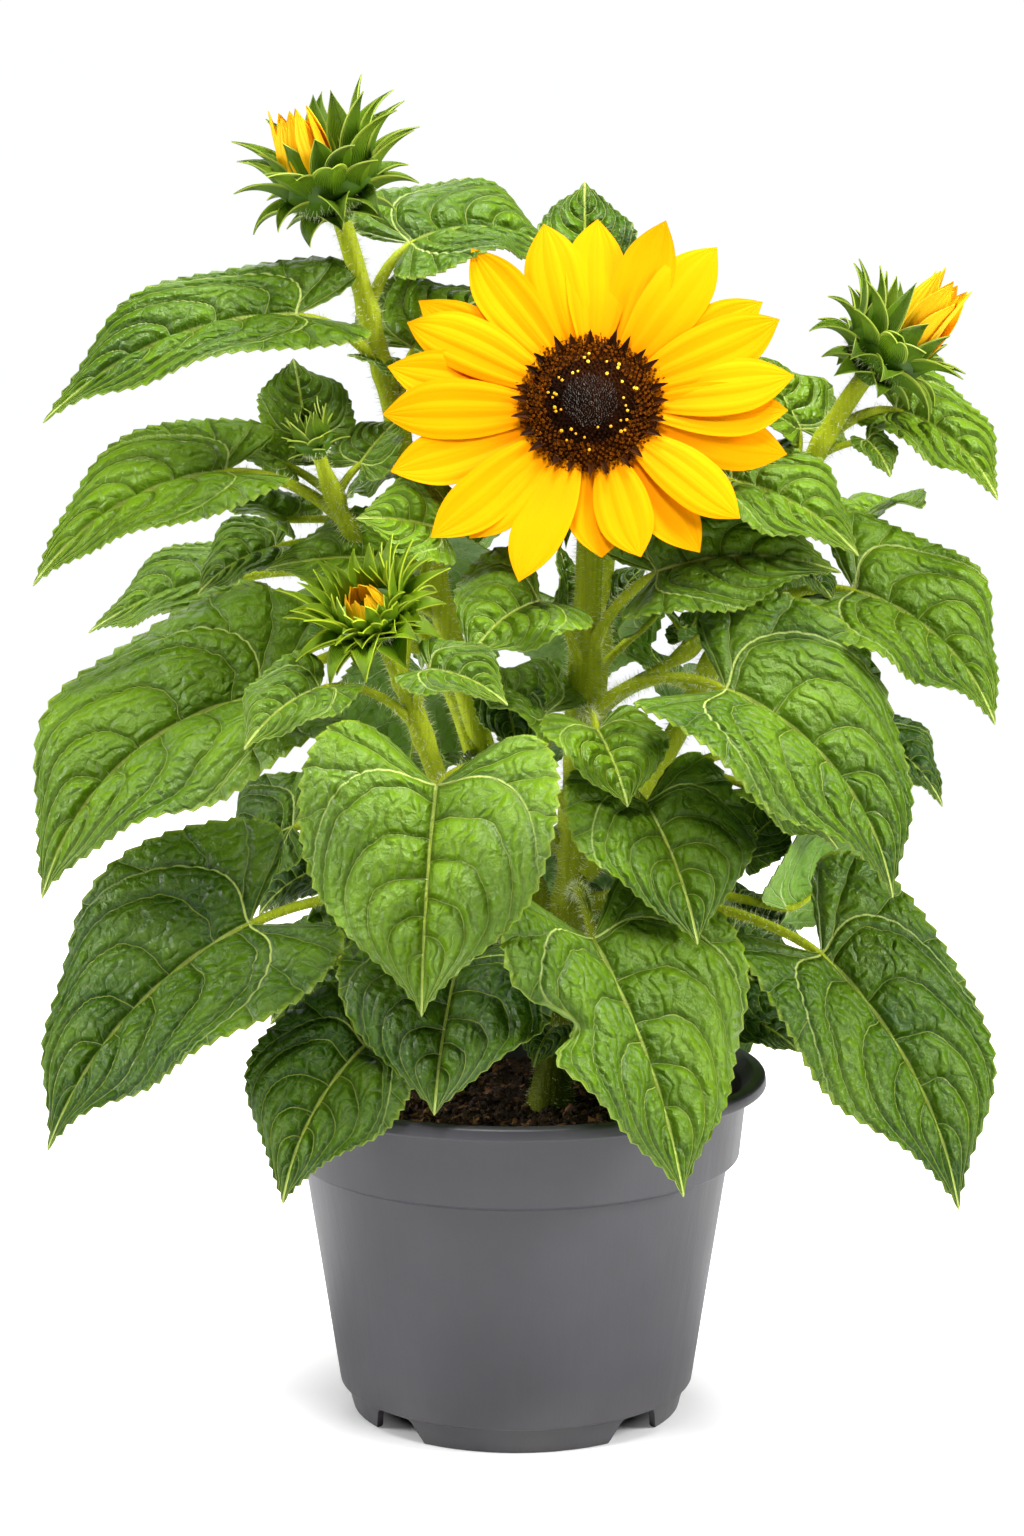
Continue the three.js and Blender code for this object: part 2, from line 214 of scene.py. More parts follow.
def makeStudio():
    scene = bpy.context.scene
    scene.view_settings.view_transform = "Standard"
    scene.world = bpy.data.worlds.new("studio")
    scene.world.use_nodes = True
    tree = scene.world.node_tree
    back = tree.nodes["Background"].inputs
    feed(back["Color"], studio["world"])
    feed(back["Strength"], take(tree, "ShaderNodeMapRange", "Result", To_Min=studio["worldStrength"],
                                To_Max=studio["seenStrength"],
                                Value=take(tree, "ShaderNodeLightPath", "Is Camera Ray")))
    for name, (spot, aim, side, watts) in studio["panels"].items():
        light = bpy.data.lights.new(name, "AREA")
        light.size = side
        light.energy = watts
        lamp = addObject(name, light)
        lamp.location = spot
        lamp.rotation_euler = (Vector(aim) - Vector(spot)).to_track_quat("-Z", "Y").to_euler()
    sides = 96
    rim = studio["floorRadius"] * np.exp(2j * np.pi * np.arange(sides) / sides)
    mesh = bpy.data.meshes.new("floor")
    mesh.from_pydata([(spot.real, spot.imag, 0) for spot in rim], [], [range(sides)])
    floor = addObject("floor", mesh)
    material, tree, shader = newMaterial("floorPaint", Base_Color=studio["floor"],
                                         Roughness=studio["floorRoughness"], Emission_Color=(1.0, 1.0, 1.0))
    away = take(tree, "ShaderNodeVectorMath", "Value", {"operation": "LENGTH"}, n0=objectPlace(tree))
    near, far, low, high = studio["floorGlow"]
    glow = take(tree, "ShaderNodeMapRange", "Result", Value=away, From_Min=near, From_Max=far, To_Min=low,
                To_Max=high)
    feed(shader.inputs["Emission Strength"],
         glow * take(tree, "ShaderNodeLightPath", "Is Camera Ray"))
    mesh.materials.append(material)


makeCamera()
makeStudio()
print("camera and studio made")

# ---- veins, the same rule for the relief of a blade and for its colours

# On a blade, `past` says how far a place lies in front of the first pair of side veins, and `aside` orders
# the branches outside that pair. Both are shares of the length, and their paces give millimetres for 1.
veins = {
    "bend": 0.5, "curve": 2.1, "gap": 0.18, "crowd": 0.15, "outerGap": 0.085, "outerBend": 0.17,
    "stagger": 0.45, "rung": 5.6, "clear": 2.5, "swell": 0.19, "wander": 0.35, "cells": 19,
}


def veinGroup():
    tree, start, end = newGroup("leafVeins", "Shader", [("Shift", "Float", 0.0)],
                                [(title, "Float") for title in ("Strong", "Side", "Net", "Quilt")])
    plane = bladePlace(tree)
    across, forward, _ = xyz(plane)
    past, aside, pastPace, asidePace, size, rim = (attribute(tree, name) for name in (
        "past", "aside", "pastPace", "asidePace", "size", "margin"))
    out = abs(across) * 100.0  # millimetres from the midrib
    warp = grow(tree, "ShaderNodeTexNoise", Vector=plane, Scale=9.0, Detail=1.0).outputs
    wave = Signal(warp["Fac"])
    wobble = (wave - 0.5) * veins["wander"]
    crowded = past * veins["crowd"] + 1.0
    inner = (past * crowded / veins["gap"] + calc("GREATER_THAN", across, 0.0) * veins["stagger"]
             + start["Shift"] + wobble)
    outer = aside / veins["outerGap"] + wobble
    isInner = calc("GREATER_THAN", past, 0.0)
    isOuter = 1.0 - isInner

    def nearest(phase):  # distance to the nearest whole number
        return abs(calc("FRACT", phase + 0.5) - 0.5)

    branch = (nearest(inner) * pastPace / crowded * veins["gap"] * isInner
              + nearest(outer) * asidePace * veins["outerGap"] * isOuter)
    first = abs(past) * pastPace
    taper = calc("MULTIPLY", 1.0 - forward * 0.7, size, clamp=True)
    lateral = first - (1.0 - rim * 0.7) * taper * 0.25
    strong = calc("MAXIMUM", spread(out - taper * 0.5, 0.0, 0.4, 1.0, 0.0),
                  spread(lateral, 0.0, 0.4, 1.0, 0.0) * spread(rim, 0.4, 0.95, 1.0, 0.3))
    thin = (spread(branch, 0.06, 0.42, 1.0, 0.0) * spread(rim, 0.35, 1.0, 1.0, 0.45)
            * spread(past, 0.6, 0.9, 1.0, 0.0))
    bent = take(tree, "ShaderNodeVectorMath", 0, {"operation": "MULTIPLY_ADD"}, n0=Signal(warp["Color"]),
                n1=(0.07, 0.07, 0), n2=plane)
    cells = take(tree, "ShaderNodeTexVoronoi", "Distance", {"feature": "DISTANCE_TO_EDGE"}, Vector=bent,
                 Scale=veins["cells"], Randomness=0.85)
    ripple = noise(plane, 20.0, 1.0)
    band = calc("FLOOR", inner * isInner + outer * isOuter)
    shift = calc("SINE", band * 12.9) * 2.0 + wave * 3.0 + ripple * 0.8
    puff = abs(calc("SINE", (out / veins["rung"] + shift) * math.pi))
    near = calc("MINIMUM", calc("MINIMUM", out, first), branch)
    # the quilt raises the bump between the veins, and the leaf's colour also takes painted shade and light
    # from it
    quiltAndShade = (puff * 0.35 + spread(cells, 0.0, 0.5) * 0.5 + ripple * 0.4) * spread(near, 0.0, 2.6)
    net = calc("MAXIMUM", spread(cells, 0.0, 0.08, 0.6, 0.0), spread(puff, 0.0, 0.22, 1.0, 0.0))
    for title, value in (("Strong", strong), ("Side", thin), ("Net", net), ("Quilt", quiltAndShade)):
        feed(end[title], value)
    return tree


def veinPlaces(share, side):
    # past and aside for shares of the length and sides from -1 to 1.
    out = np.abs(side)
    return share - veins["bend"] * out ** veins["curve"], share - veins["outerBend"] * out


def veinRelief(past, aside, side, distance, shift, pastPace, asidePace):
    # Millimetres that the blade swells between its veins. distance is how far a strong vein is.
    crowded = 1 + veins["crowd"] * past
    inner = past * crowded / veins["gap"] + veins["stagger"] * (side > 0) + shift
    phase = np.where(past > 0, inner, aside / veins["outerGap"])
    innerGap, outerGap = pastPace * veins["gap"] / np.maximum(crowded, 0.5), asidePace * veins["outerGap"]
    apart = np.where(past > 0, innerGap, outerGap)
    swell = np.abs(np.sin(np.pi * phase)) ** 0.8 * np.clip(apart, 1, 15) * veins["swell"]
    clear = np.clip(distance / veins["clear"], 0, 1)
    return swell * clear * (2 - clear)


# ---- finishes

leafVeins = veinGroup()


def mottleGroup():
    # Large cloudy and small grainy variation for anything that grew.
    tree, start, end = newGroup(
        "growthMottle", "Shader", [("Cloud Scale", "Float", 20.0), ("Grain Scale", "Float", 600.0)],
        [("Cloud", "Float"), ("Grain", "Float")])
    where = objectPlace(tree)
    for title, detail in (("Cloud", 2), ("Grain", 4)):
        feed(end[title], noise(where, start[f"{title} Scale"], detail))
    return tree


growthMottle = mottleGroup()


def leafMaterial(name, dark, light, vein, rib, rim, sides, net, roughness, relief):
    # sides and net are how strongly the side veins and the finest ones show.
    material, tree, shader = newMaterial(name, Specular_IOR_Level=0.3)
    tone = attribute(tree, "tone")
    strong, side, mesh, quiltAndShade = place(tree, leafVeins, Shift=tone)
    cloud, grain = place(tree, growthMottle, Cloud_Scale=28.0, Grain_Scale=1000.0)
    # painted shade in the hollows between the puffs and painted light on their crowns, from the quilt
    body = mix(calc("ADD", cloud * 0.8 + (tone - 0.61), quiltAndShade * 0.34, clamp=True), dark, light)
    for share, colour in ((mesh * net, vein), (side * sides, vein), (strong * 0.9, rib),
                          (spread(attribute(tree, "margin"), 0.965, 1.0, 0.0, 0.4), rim)):
        body = mix(share, body, colour)
    finish(shader, body, grain * 0.16 + roughness + strong * 0.12, quiltAndShade - side * 0.5 + grain * 0.3, relief)
    return material


def nervedMaterial(name, low, high, deep, rim, nerves, depth, roughness, specular):
    # Runs from low at the foot to high at the tip, with fine lengthwise nerves in the deep colour.
    material, tree, shader = newMaterial(name, Specular_IOR_Level=specular)
    across, forward, _ = xyz(bladePlace(tree))
    cloud, grain = place(tree, growthMottle, Cloud_Scale=60.0, Grain_Scale=900.0)
    nerve = abs(calc("SINE", across * nerves))
    body = mix(spread(forward, 0.1, 0.62), low, high)
    fading = spread(forward, 0.5, 0.95, 1.0, 0.0) * depth
    for share, colour in ((spread(nerve, 0.0, 0.45, 1.0, 0.0) * fading, deep),
                          (spread(cloud, 0.4, 0.7) * 0.3, deep), (attribute(tree, "tone") * 0.3, high),
                          (spread(attribute(tree, "margin"), 0.8, 1.0, 0.0, 0.8), rim)):
        body = mix(share, body, colour)
    finish(shader, body, grain * 0.2 + (roughness - 0.1), nerve + grain * 0.3, depth * mm)
    return material


def stemMaterial(name, green, pale, old):
    # Streaked lengthwise, and darker low in the middle of the plant: painted shade under the crown.
    material, tree, shader = newMaterial(name, Specular_IOR_Level=0.1)
    cloud, grain = place(tree, growthMottle, Cloud_Scale=45.0, Grain_Scale=900.0)
    where = objectPlace(tree)
    across, _, up = xyz(where)
    streak = noise(stretched(where, 0.06), 900, 2, 0.55)
    # painted shade: the stem darkens low in the middle of the plant, where the crown shades it
    paintedShade = spread(abs(across - 0.02), 0.02, 0.05, 0.75, 0.0) * spread(up, 0.15, 0.26, 1.0, 0.0)
    body = mix(calc("SUBTRACT", streak * 0.9 + cloud * 0.5, 0.25, clamp=True), green, pale)
    finish(shader, mix(paintedShade, body, old), grain * 0.2 + 0.45, streak + grain * 0.4, 0.0004)
    return material


def grownMaterial(name, low, high, roughness, specular=0.1, patches=60.0, relief=0.0003):
    # Between two colours in soft clouds, with a fine grain.
    material, tree, shader = newMaterial(name, Specular_IOR_Level=specular)
    cloud, grain = place(tree, growthMottle, Cloud_Scale=patches, Grain_Scale=900.0)
    body = mix(spread(cloud, 0.35, 0.65), low, high)
    finish(shader, body, grain * 0.2 + (roughness - 0.1), grain, relief)
    return material


def potMaterial():
    # Satin grey plastic with faint streaks of flow, paler in places, and dust at the foot.
    material, tree, shader = newMaterial("potPlastic", Specular_IOR_Level=0.5)
    where = objectPlace(tree)
    cloud, fine = noise(where, 14, 4, 0.55), noise(where, 1400, 2, 0.55)
    streak = noise(stretched(where, 0.08), 160, 3, 0.55)
    body = mix(spread(cloud, 0.35, 0.7), (0.05, 0.048, 0.056), (0.06, 0.058, 0.067))
    body = mix(spread(streak, 0.5, 0.75) * 0.06, body, (0.09, 0.09, 0.097))
    dust = spread(xyz(where)[2], 0.0, 0.03, 1.0, 0.0) * spread(cloud, 0.35, 0.65)
    body = mix(dust * 0.35, body, (0.14, 0.13, 0.12))
    finish(shader, body, cloud * 0.16 + streak * 0.12 + 0.26, fine * 0.35 + streak, 0.00025, 0.6)
    return material


def soilMaterial():
    material, tree, shader = newMaterial("pottingSoil", Specular_IOR_Level=0.2)
    where = objectPlace(tree)
    cloud, grain = noise(where, 90, 4, 0.55), noise(where, 700, 5, 0.55)
    body = mix(spread(cloud, 0.3, 0.7), (0.012, 0.008, 0.006), (0.05, 0.03, 0.018))
    body = mix(spread(grain, 0.56, 0.7, 0.0, 0.7), body, (0.12, 0.065, 0.03))
    finish(shader, body, grain * 0.3 + 0.62, grain + cloud, 0.0016)
    return material


finishes = {
    "leaf": leafMaterial("leafUpper", dark=(0.018, 0.066, 0), light=(0.215, 0.39, 0.008),
                         vein=(0.42, 0.55, 0.07), rib=(0.54, 0.64, 0.15), rim=(0.34, 0.46, 0.02),
                         sides=0.62, net=0.14, roughness=0.23, relief=0.0024),
    "under": leafMaterial("leafUnder", dark=(0.1, 0.24, 0.018), light=(0.25, 0.43, 0.035),
                          vein=(0.42, 0.52, 0.2), rib=(0.5, 0.62, 0.24), rim=(0.38, 0.46, 0.1),
                          sides=0.7, net=0.25, roughness=0.5, relief=0.001),
    "stem": stemMaterial("stemGreen", green=(0.23, 0.295, 0.005), pale=(0.5, 0.58, 0.02),
                         old=(0.05, 0.06, 0.004)),
    "ray": nervedMaterial("rayYellow", low=(1, 0.33, 0), high=(1, 0.4, 0), deep=(0.98, 0.35, 0),
                          rim=(1, 0.4, 0), nerves=11.0, depth=0.08, roughness=0.66, specular=0.03),
    "bract": nervedMaterial("bractGreen", low=(0.042, 0.11, 0.002), high=(0.16, 0.3, 0.006),
                            deep=(0.024, 0.075, 0.001), rim=(0.42, 0.52, 0.06), nerves=30.0, depth=0.3,
                            roughness=0.45, specular=0.26),
    "youngBract": nervedMaterial("youngBractGreen", low=(0.09, 0.24, 0.003), high=(0.3, 0.5, 0.01),
                                 deep=(0.05, 0.15, 0.002), rim=(0.55, 0.66, 0.03), nerves=30.0, depth=0.3,
                                 roughness=0.45, specular=0.25),
    "petal": nervedMaterial("budPetal", low=(1, 0.4, 0.002), high=(1, 0.54, 0.006), deep=(1, 0.36, 0.001),
                            rim=(1, 0.57, 0.01), nerves=8.0, depth=0.2, roughness=0.55, specular=0.1),
    "disc": grownMaterial("discBrown", (0.014, 0.004, 0.001), (0.05, 0.013, 0.002), 0.6, 0.04),
    "floret": grownMaterial("floretTip", (0.1, 0.025, 0.001), (0.42, 0.13, 0.006), 0.5, 0.05, patches=650.0),
    "fuzz": grownMaterial("floretFuzz", (0.05, 0.04, 0.032), (0.34, 0.31, 0.28), 0.7, 0.05, patches=700.0),
    "pollen": grownMaterial("pollenGold", (0.85, 0.4, 0.01), (0.98, 0.68, 0.05), 0.7),
    "hair": grownMaterial("stemHair", (0.6, 0.7, 0.3), (0.86, 0.88, 0.6), 0.5),
    "pot": potMaterial(),
    "soil": soilMaterial(),
    "crumb": grownMaterial("soilCrumb", (0.014, 0.009, 0.007), (0.06, 0.035, 0.022), 0.8, relief=0.0008),
    "bark": grownMaterial("barkFleck", (0.1, 0.045, 0.018), (0.28, 0.14, 0.06), 0.75, relief=0.0005),
}
print("finishes made")

# ---- mesh helpers: everything is worked out in millimetres and made in metres


def fill(items, title, parts, kind=np.float32):
    # Sets one property of all the items from arrays that follow one another.
    items.foreach_set(title, np.concatenate(parts).ravel().astype(kind))


def smooth(mesh, sharp=50):
    # Shades smooth, but for edges over this many degrees.
    mesh.shade_smooth()
    mesh.set_sharp_from_angle(angle=math.radians(sharp))


# What every point carries for the materials.
pointLayers = ("tone", "margin", "past", "aside", "pastPace", "asidePace", "size")


class Heap:
    # Gathers points and faces for one piece. Faces are arrays of quads or of triangles.
    def __init__(self, *wears):
        self.wears = wears
        self.count = 0
        self.points, self.faces, self.worn, self.plane, self.bake = [], [], [], [], []
        self.layers = {title: [] for title in pointLayers}

    def put(self, points, **given):
        first = self.count
        self.count += len(points)
        self.points.append(points)
        for title, values in self.layers.items():
            values.append(np.broadcast_to(given.get(title, 0.5), len(points)))
        return first

    def cover(self, first, faces, wear, plane=None, bake=None):
        # plane and bake give every corner its place on the piece's two maps.
        faces = np.asarray(faces)
        self.faces.append(faces + first)
        self.worn.append(np.full(len(faces), self.wears.index(wear)))
        self.plane.append(np.zeros((faces.size, 2)) if plane is None else np.reshape(plane, (-1, 2)))
        self.bake.append(None if bake is None else np.reshape(bake, (-1, 2)))

    def make(self, name):
        mesh = bpy.data.meshes.new(name)
        sizes = np.concatenate([np.full(len(faces), faces.shape[1]) for faces in self.faces])
        mesh.vertices.add(self.count)
        mesh.loops.add(int(sizes.sum()))
        mesh.polygons.add(len(sizes))
        fill(mesh.vertices, "co", [np.concatenate(self.points).astype(np.float32) * mm])
        fill(mesh.loops, "vertex_index", [faces.ravel() for faces in self.faces], np.int32)
        fill(mesh.polygons, "loop_start", [np.cumsum(sizes) - sizes], np.int32)
        fill(mesh.polygons, "material_index", self.worn, np.int32)
        for title, values in self.layers.items():
            fill(mesh.attributes.new(title, "FLOAT", "POINT").data, "value", values)
        for title, parts in (("plane", self.plane), ("OFBake", self.bake)):
            if all(part is not None for part in parts):
                fill(mesh.uv_layers.new(name=title).uv, "vector", parts)
        for wear in self.wears:
            mesh.materials.append(finishes[wear])
        mesh.update(calc_edges=True)
        mesh.validate()
        smooth(mesh)
        return addObject(name, mesh)


@contextmanager
def editing(mesh):
    # The mesh open for editing, written back at the end.
    work = bmesh.new()
    work.from_mesh(mesh)
    yield work
    work.to_mesh(mesh)
    work.free()


def declare(piece, slot, *nodes):
    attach(piece, "root")
    if nodes:
        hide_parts(*nodes)


def drop(*objects):
    for item in objects:
        bpy.data.objects.remove(item)


def changed(piece, change):
    # The mesh that a modifier makes of the piece. The modifier goes.
    depsgraph = bpy.context.evaluated_depsgraph_get()
    mesh = bpy.data.meshes.new_from_object(piece.evaluated_get(depsgraph), depsgraph=depsgraph)
    piece.modifiers.remove(change)
    return mesh


def gridQuads(rows, columns):
    first = (np.arange(rows - 1)[:, None] * columns + np.arange(columns - 1)).ravel()
    return np.stack([first, first + columns, first + columns + 1, first + 1], 1)


def boxed(places, box):
    # Fits places that run from 0 to 1 into a box (left, right, foot, top) of the bake's map.
    left, right, foot, top = box
    return places * (right - left, top - foot) + (left, foot)


def addShell(heap, sheet, depth, wear, under, plane, boxes=None, **layers):
    # A closed thin blade: sheet is (rows, columns, 3), rows run forward and columns to the left.
    rows, columns = sheet.shape[:2]
    count = rows * columns
    for title, value in layers.items():
        layers[title] = np.tile(np.ravel(value), 2) if np.ndim(value) else value
    first = heap.put(np.concatenate([sheet.reshape(-1, 3), (sheet - depth).reshape(-1, 3)]), **layers)
    upper = gridQuads(rows, columns)
    lower = upper[:, ::-1]
    here = np.concatenate([np.arange(rows) * columns, count - columns + np.arange(1, columns),
                           (np.arange(rows - 1)[::-1] + 1) * columns - 1, np.arange(columns - 1)[:0:-1]])
    after = np.roll(here, -1)
    rim = np.stack([after, here, here + count, after + count], 1)
    bakes = [None] * 3
    if boxes:
        even = np.stack(np.meshgrid(np.linspace(0, 1, columns), np.linspace(0, 1, rows)), -1).reshape(-1, 2)
        share = np.arange(len(here) + 1) / len(here)
        strip = np.stack([np.stack([np.full(len(here), side), share[1 - turn:len(here) + 1 - turn]], 1)
                          for side, turn in ((0, 0), (0, 1), (1, 1), (1, 0))], 1)
        bakes = [boxed(part, box) for part, box in zip((even[upper], even[lower], strip), boxes)]
    flat = plane.reshape(-1, 2)
    heap.cover(first, upper, wear, flat[upper], bakes[0])
    heap.cover(first + count, lower, under, flat[lower], bakes[1])
    heap.cover(first, rim, under, flat[rim % count], bakes[2])


def addRings(heap, rings, wear, box=None):
    # A closed skin over rings (count, sides, 3), with a fan at each end.
    count, sides = rings.shape[:2]
    first = heap.put(np.concatenate([rings.reshape(-1, 3), rings[:1].mean(1), rings[-1:].mean(1)]))
    band = np.arange(count - 1)[:, None] * sides
    here, after = np.arange(sides), (np.arange(sides) + 1) % sides
    end = (count - 1) * sides
    skin = np.stack([band + here, band + after, band + after + sides, band + here + sides], -1)
    parts = [skin.reshape(-1, 4), np.stack([after, here, np.full(sides, count * sides)], 1),
             np.stack([end + here, end + after, np.full(sides, count * sides + 1)], 1)]
    bakes = [None] * 3
    if box:
        fan = 0.03  # the share of the box that each fan has, under and over the skin
        rise, turn = np.meshgrid(np.arange(count - 1), np.arange(sides), indexing="ij")
        levels = [fan + (1 - 2 * fan) * (rise + up) / (count - 1) for up in (0, 1)]
        bakes = [np.stack([np.stack([(turn + right) / sides, levels[up]], -1)
                           for right, up in ((0, 0), (1, 0), (1, 1), (0, 1))], 2)]
        for level in (0, 1 - fan):
            bakes.append(np.stack([np.stack([(here + right) / sides, np.full(sides, level + up)], 1)
                                   for right, up in ((1, 0), (0, 0), (0.5, fan))], 1))
        bakes = [boxed(part.reshape(-1, 2), box) for part in bakes]
    for faces, bake in zip(parts, bakes):
        heap.cover(first, faces, wear, None, bake)


def skinned(name, wear, *skins):
    # An object of closed skins, each over rings.
    heap = Heap(wear)
    for rings in skins:
        addRings(heap, rings, wear)
    return heap.make(name)


def turnsOf(sides):
    return 2 * np.pi * np.arange(sides) / sides


def circles(radius, level, sides):
    # Rings round the upright axis. radius and level are for each ring, or for each place on it.
    turn = turnsOf(sides)
    radius, level = (np.reshape(part, (len(part), -1)) + 0 * turn for part in (radius, level))
    return np.stack([radius * np.cos(turn), radius * np.sin(turn), level], -1)


def unit(vectors):
    return vectors / np.maximum(np.linalg.norm(vectors, axis=-1, keepdims=True), 1e-9)


def ringsAlong(centres, radii, sides):
    # Rings square to a line of centres, carried along it without twisting, with a radius for each ring
    # or for each place on it.
    along = unit(np.gradient(centres, axis=0))
    side = np.cross((0, 1, 0) if abs(along[0][1]) < 0.9 else (1, 0, 0), along[0])
    turn = turnsOf(sides)[:, None]
    rings = []
    for centre, ahead, radius in zip(centres, along, radii):
        side = unit(side - ahead * (side @ ahead))
        rim = np.cos(turn) * side + np.sin(turn) * np.cross(ahead, side)
        rings.append(centre + rim * np.reshape(radius, (-1, 1)))
    return np.array(rings)


def towards(heading, pitch):
    # The direction at a heading, anticlockwise from the right, and a pitch above the level.
    heading, pitch = np.radians(heading), np.radians(pitch)
    flat = np.cos(pitch)
    return np.stack([flat * np.cos(heading), flat * np.sin(heading), np.sin(pitch)], -1)


def midrib(start, heading, pitch, endPitch, length, roll, distances):
    # Place, along, left and up at each distance. The pitch changes evenly from one end to the other.
    steps = 12
    bend = (endPitch - pitch) / length
    pitches = pitch + bend * distances[:, None] * (np.arange(steps) + 0.5) / steps
    run = towards(np.full_like(pitches, heading), pitches)
    line = np.asarray(start) + (run * (distances / steps)[:, None, None]).sum(1)
    along = towards(np.full_like(distances, heading), pitch + bend * distances)
    level = towards(heading + 90, 0.0)
    left = level * math.cos(math.radians(roll)) + np.cross(along, level) * math.sin(math.radians(roll))
    return line, along, left, np.cross(along, left)


# ---- Geometry Nodes helpers

# What every tree that makes copies of a shape takes in.
copyInputs = [("Shape", "Object", None), ("Smallest", "Float", 0.6), ("Largest", "Float", 1.2),
              ("Lean", "Float", 0.5), ("Seed", "Int", 1), ("Material", "Material", None)]


def combine(tree, across, up, ahead):
    return take(tree, "ShaderNodeCombineXYZ", X=across, Y=up, Z=ahead)


def chance(start, kind, which, **inputs):
    # A random value for every copy.
    seed = start["Seed"]
    return take(seed.tree, "FunctionNodeRandomValue", which, {"data_type": kind}, Seed=seed, **inputs)


def standCopies(tree, start, end, lean, **inputs):
    # Stands copies of the shape on points with a random size, turns and leans them, and makes them real.
    shape = take(tree, "GeometryNodeObjectInfo", "Geometry", Object=start["Shape"])
    size = chance(start, "FLOAT", 1, n2=start["Smallest"], n3=start["Largest"])
    stood = take(tree, "GeometryNodeInstanceOnPoints", Instance=shape, Scale=size, **inputs)
    back = lean * -1.0
    spin = chance(start, "FLOAT_VECTOR", 0, n0=combine(tree, back, back, -math.pi),
                  n1=combine(tree, lean, lean, math.pi))
    turned = take(tree, "GeometryNodeRotateInstances", Instances=stood, Rotation=spin)
    real = take(tree, "GeometryNodeRealizeInstances", Geometry=turned)
    feed(end["Mesh"], take(tree, "GeometryNodeSetMaterial", Geometry=real, Material=start["Material"]))
    return tree


def runTree(tree, base, name, **inputs):
    # Runs the tree on the base object and keeps the result as a plain mesh.
    change = base.modifiers.new(name, "NODES")
    change.node_group = tree
    for item in tree.interface.items_tree:
        if item.in_out == "INPUT" and item.name.lower() in inputs:
            change[item.identifier] = inputs[item.name.lower()]
    mesh = changed(base, change)
    mesh.name = name
    return addObject(name, mesh)


def scatterTree():
    # Copies stood all over a surface.
    tree, start, end = newGroup("scatter", "Geometry", [
        ("Surface", "Geometry", None), ("Density", "Float", 1e5), *copyInputs], [("Mesh", "Geometry")])
    spots = grow(tree, "GeometryNodeDistributePointsOnFaces", Mesh=start["Surface"],
                 Density=start["Density"], Seed=start["Seed"]).outputs
    return standCopies(tree, start, end, start["Lean"], Points=Signal(spots["Points"]),
                       Rotation=Signal(spots["Rotation"]))


scatter = scatterTree()

# ---- pot

pot = {
    "height": 130.7, "rimRadius": 95.2, "rimDrop": 5, "lipWidth": 5, "collarTopRadius": 87.9,
    "collarFootRadius": 85, "collarFoot": 98.4, "bodyTopRadius": 81, "bodyFootRadius": 67.5,
    "ringTopRadius": 65.2, "ringFootRadius": 62.5, "ringHeight": 9.6, "ringWall": 3, "wall": 2.2,
    "floor": 2.5, "step": 3, "sides": 144, "gaps": 4, "gapWidth": 27, "gapLean": 5, "gapRound": 3,
    "gapReach": (75, 45), "sharp": 38,
}


def potInside(height):
    share = (height - pot["ringHeight"]) / (pot["collarFoot"] - pot["ringHeight"])
    return pot["bodyFootRadius"] + (pot["bodyTopRadius"] - pot["bodyFootRadius"]) * share - pot["wall"]


def rounded(corners, steps=5):
    # A line through corners (across, up, radius), each turned into an arc.
    line = []
    for index, (across, up, radius) in enumerate(corners):
        corner = np.array([across, up], float)
        if not radius:
            line.append(corner)
            continue
        before = unit(np.array(corners[index - 1][:2]) - corner)
        ahead = unit(np.array(corners[(index + 1) % len(corners)][:2]) - corner)
        half = math.acos(np.clip(before @ ahead, -1, 1)) / 2
        middle = corner + unit(before + ahead) * radius / math.sin(half)
        reach = radius / math.tan(half)
        first, last = corner + before * reach - middle, corner + ahead * reach - middle
        for share in np.linspace(0, 1, steps):
            line.append(middle + unit(first * (1 - share) + last * share) * radius)
    return np.array(line)


def makePot():
    high, wall, ring, collar = pot["height"], pot["wall"], pot["ringHeight"], pot["collarFoot"]
    shoulder = high - pot["rimDrop"]
    floorTop = ring + pot["floor"]
    line = rounded([
        (0, ring, 0), (pot["ringTopRadius"] - pot["ringWall"], ring, 1),
        (pot["ringFootRadius"] - pot["ringWall"], 0, 0.8), (pot["ringFootRadius"], 0, 1),
        (pot["ringTopRadius"], ring, 0.9), (pot["bodyFootRadius"], ring + 1, 1),
        (pot["bodyTopRadius"], collar, 1.2), (pot["collarFootRadius"], collar, 1.3),
        (pot["collarTopRadius"], shoulder, 1.6), (pot["rimRadius"], shoulder, 0.8),
        (pot["rimRadius"] - 0.6, high, 1.7), (pot["rimRadius"] - pot["lipWidth"], high, 1.2),
        (pot["collarTopRadius"] - wall, shoulder, 2), (pot["collarFootRadius"] - wall, collar, 2),
        (potInside(collar), collar - pot["step"], 1), (potInside(floorTop), floorTop, 2), (0, floorTop, 0)])
    piece = skinned("potShell", "pot", circles(line[1:-1, 0], line[1:-1, 1], pot["sides"]))
    half, top, radius = pot["gapWidth"] / 2, ring - 0.4, pot["gapRound"]
    upper = half - pot["gapLean"]
    mouth = rounded([(-half, -1, 0), (half, -1, 0), (upper, top, radius), (-upper, top, radius)])
    blocks = []
    for gap in range(pot["gaps"]):
        heading = 45 + gap * 360 / pot["gaps"]
        out, side = towards(heading, 0.0), towards(heading + 90, 0.0)
        outline = mouth[:, :1] * side + mouth[:, 1:] * (0, 0, 1)
        blocks.append(np.stack([outline + out * reach for reach in pot["gapReach"]]))
    cutter = skinned("footGaps", "pot", *blocks)
    with editing(cutter.data) as work:
        bmesh.ops.recalc_face_normals(work, faces=work.faces)
    cut = piece.modifiers.new("gaps", "BOOLEAN")
    cut.operation = "DIFFERENCE"
    cut.object = cutter
    cut.solver = "EXACT"
    piece.data = changed(piece, cut)
    smooth(piece.data, pot["sharp"])
    drop(cutter)
    declare(piece, "pot_plastic", "pot")


makePot()
print("pot made")

# ---- soil

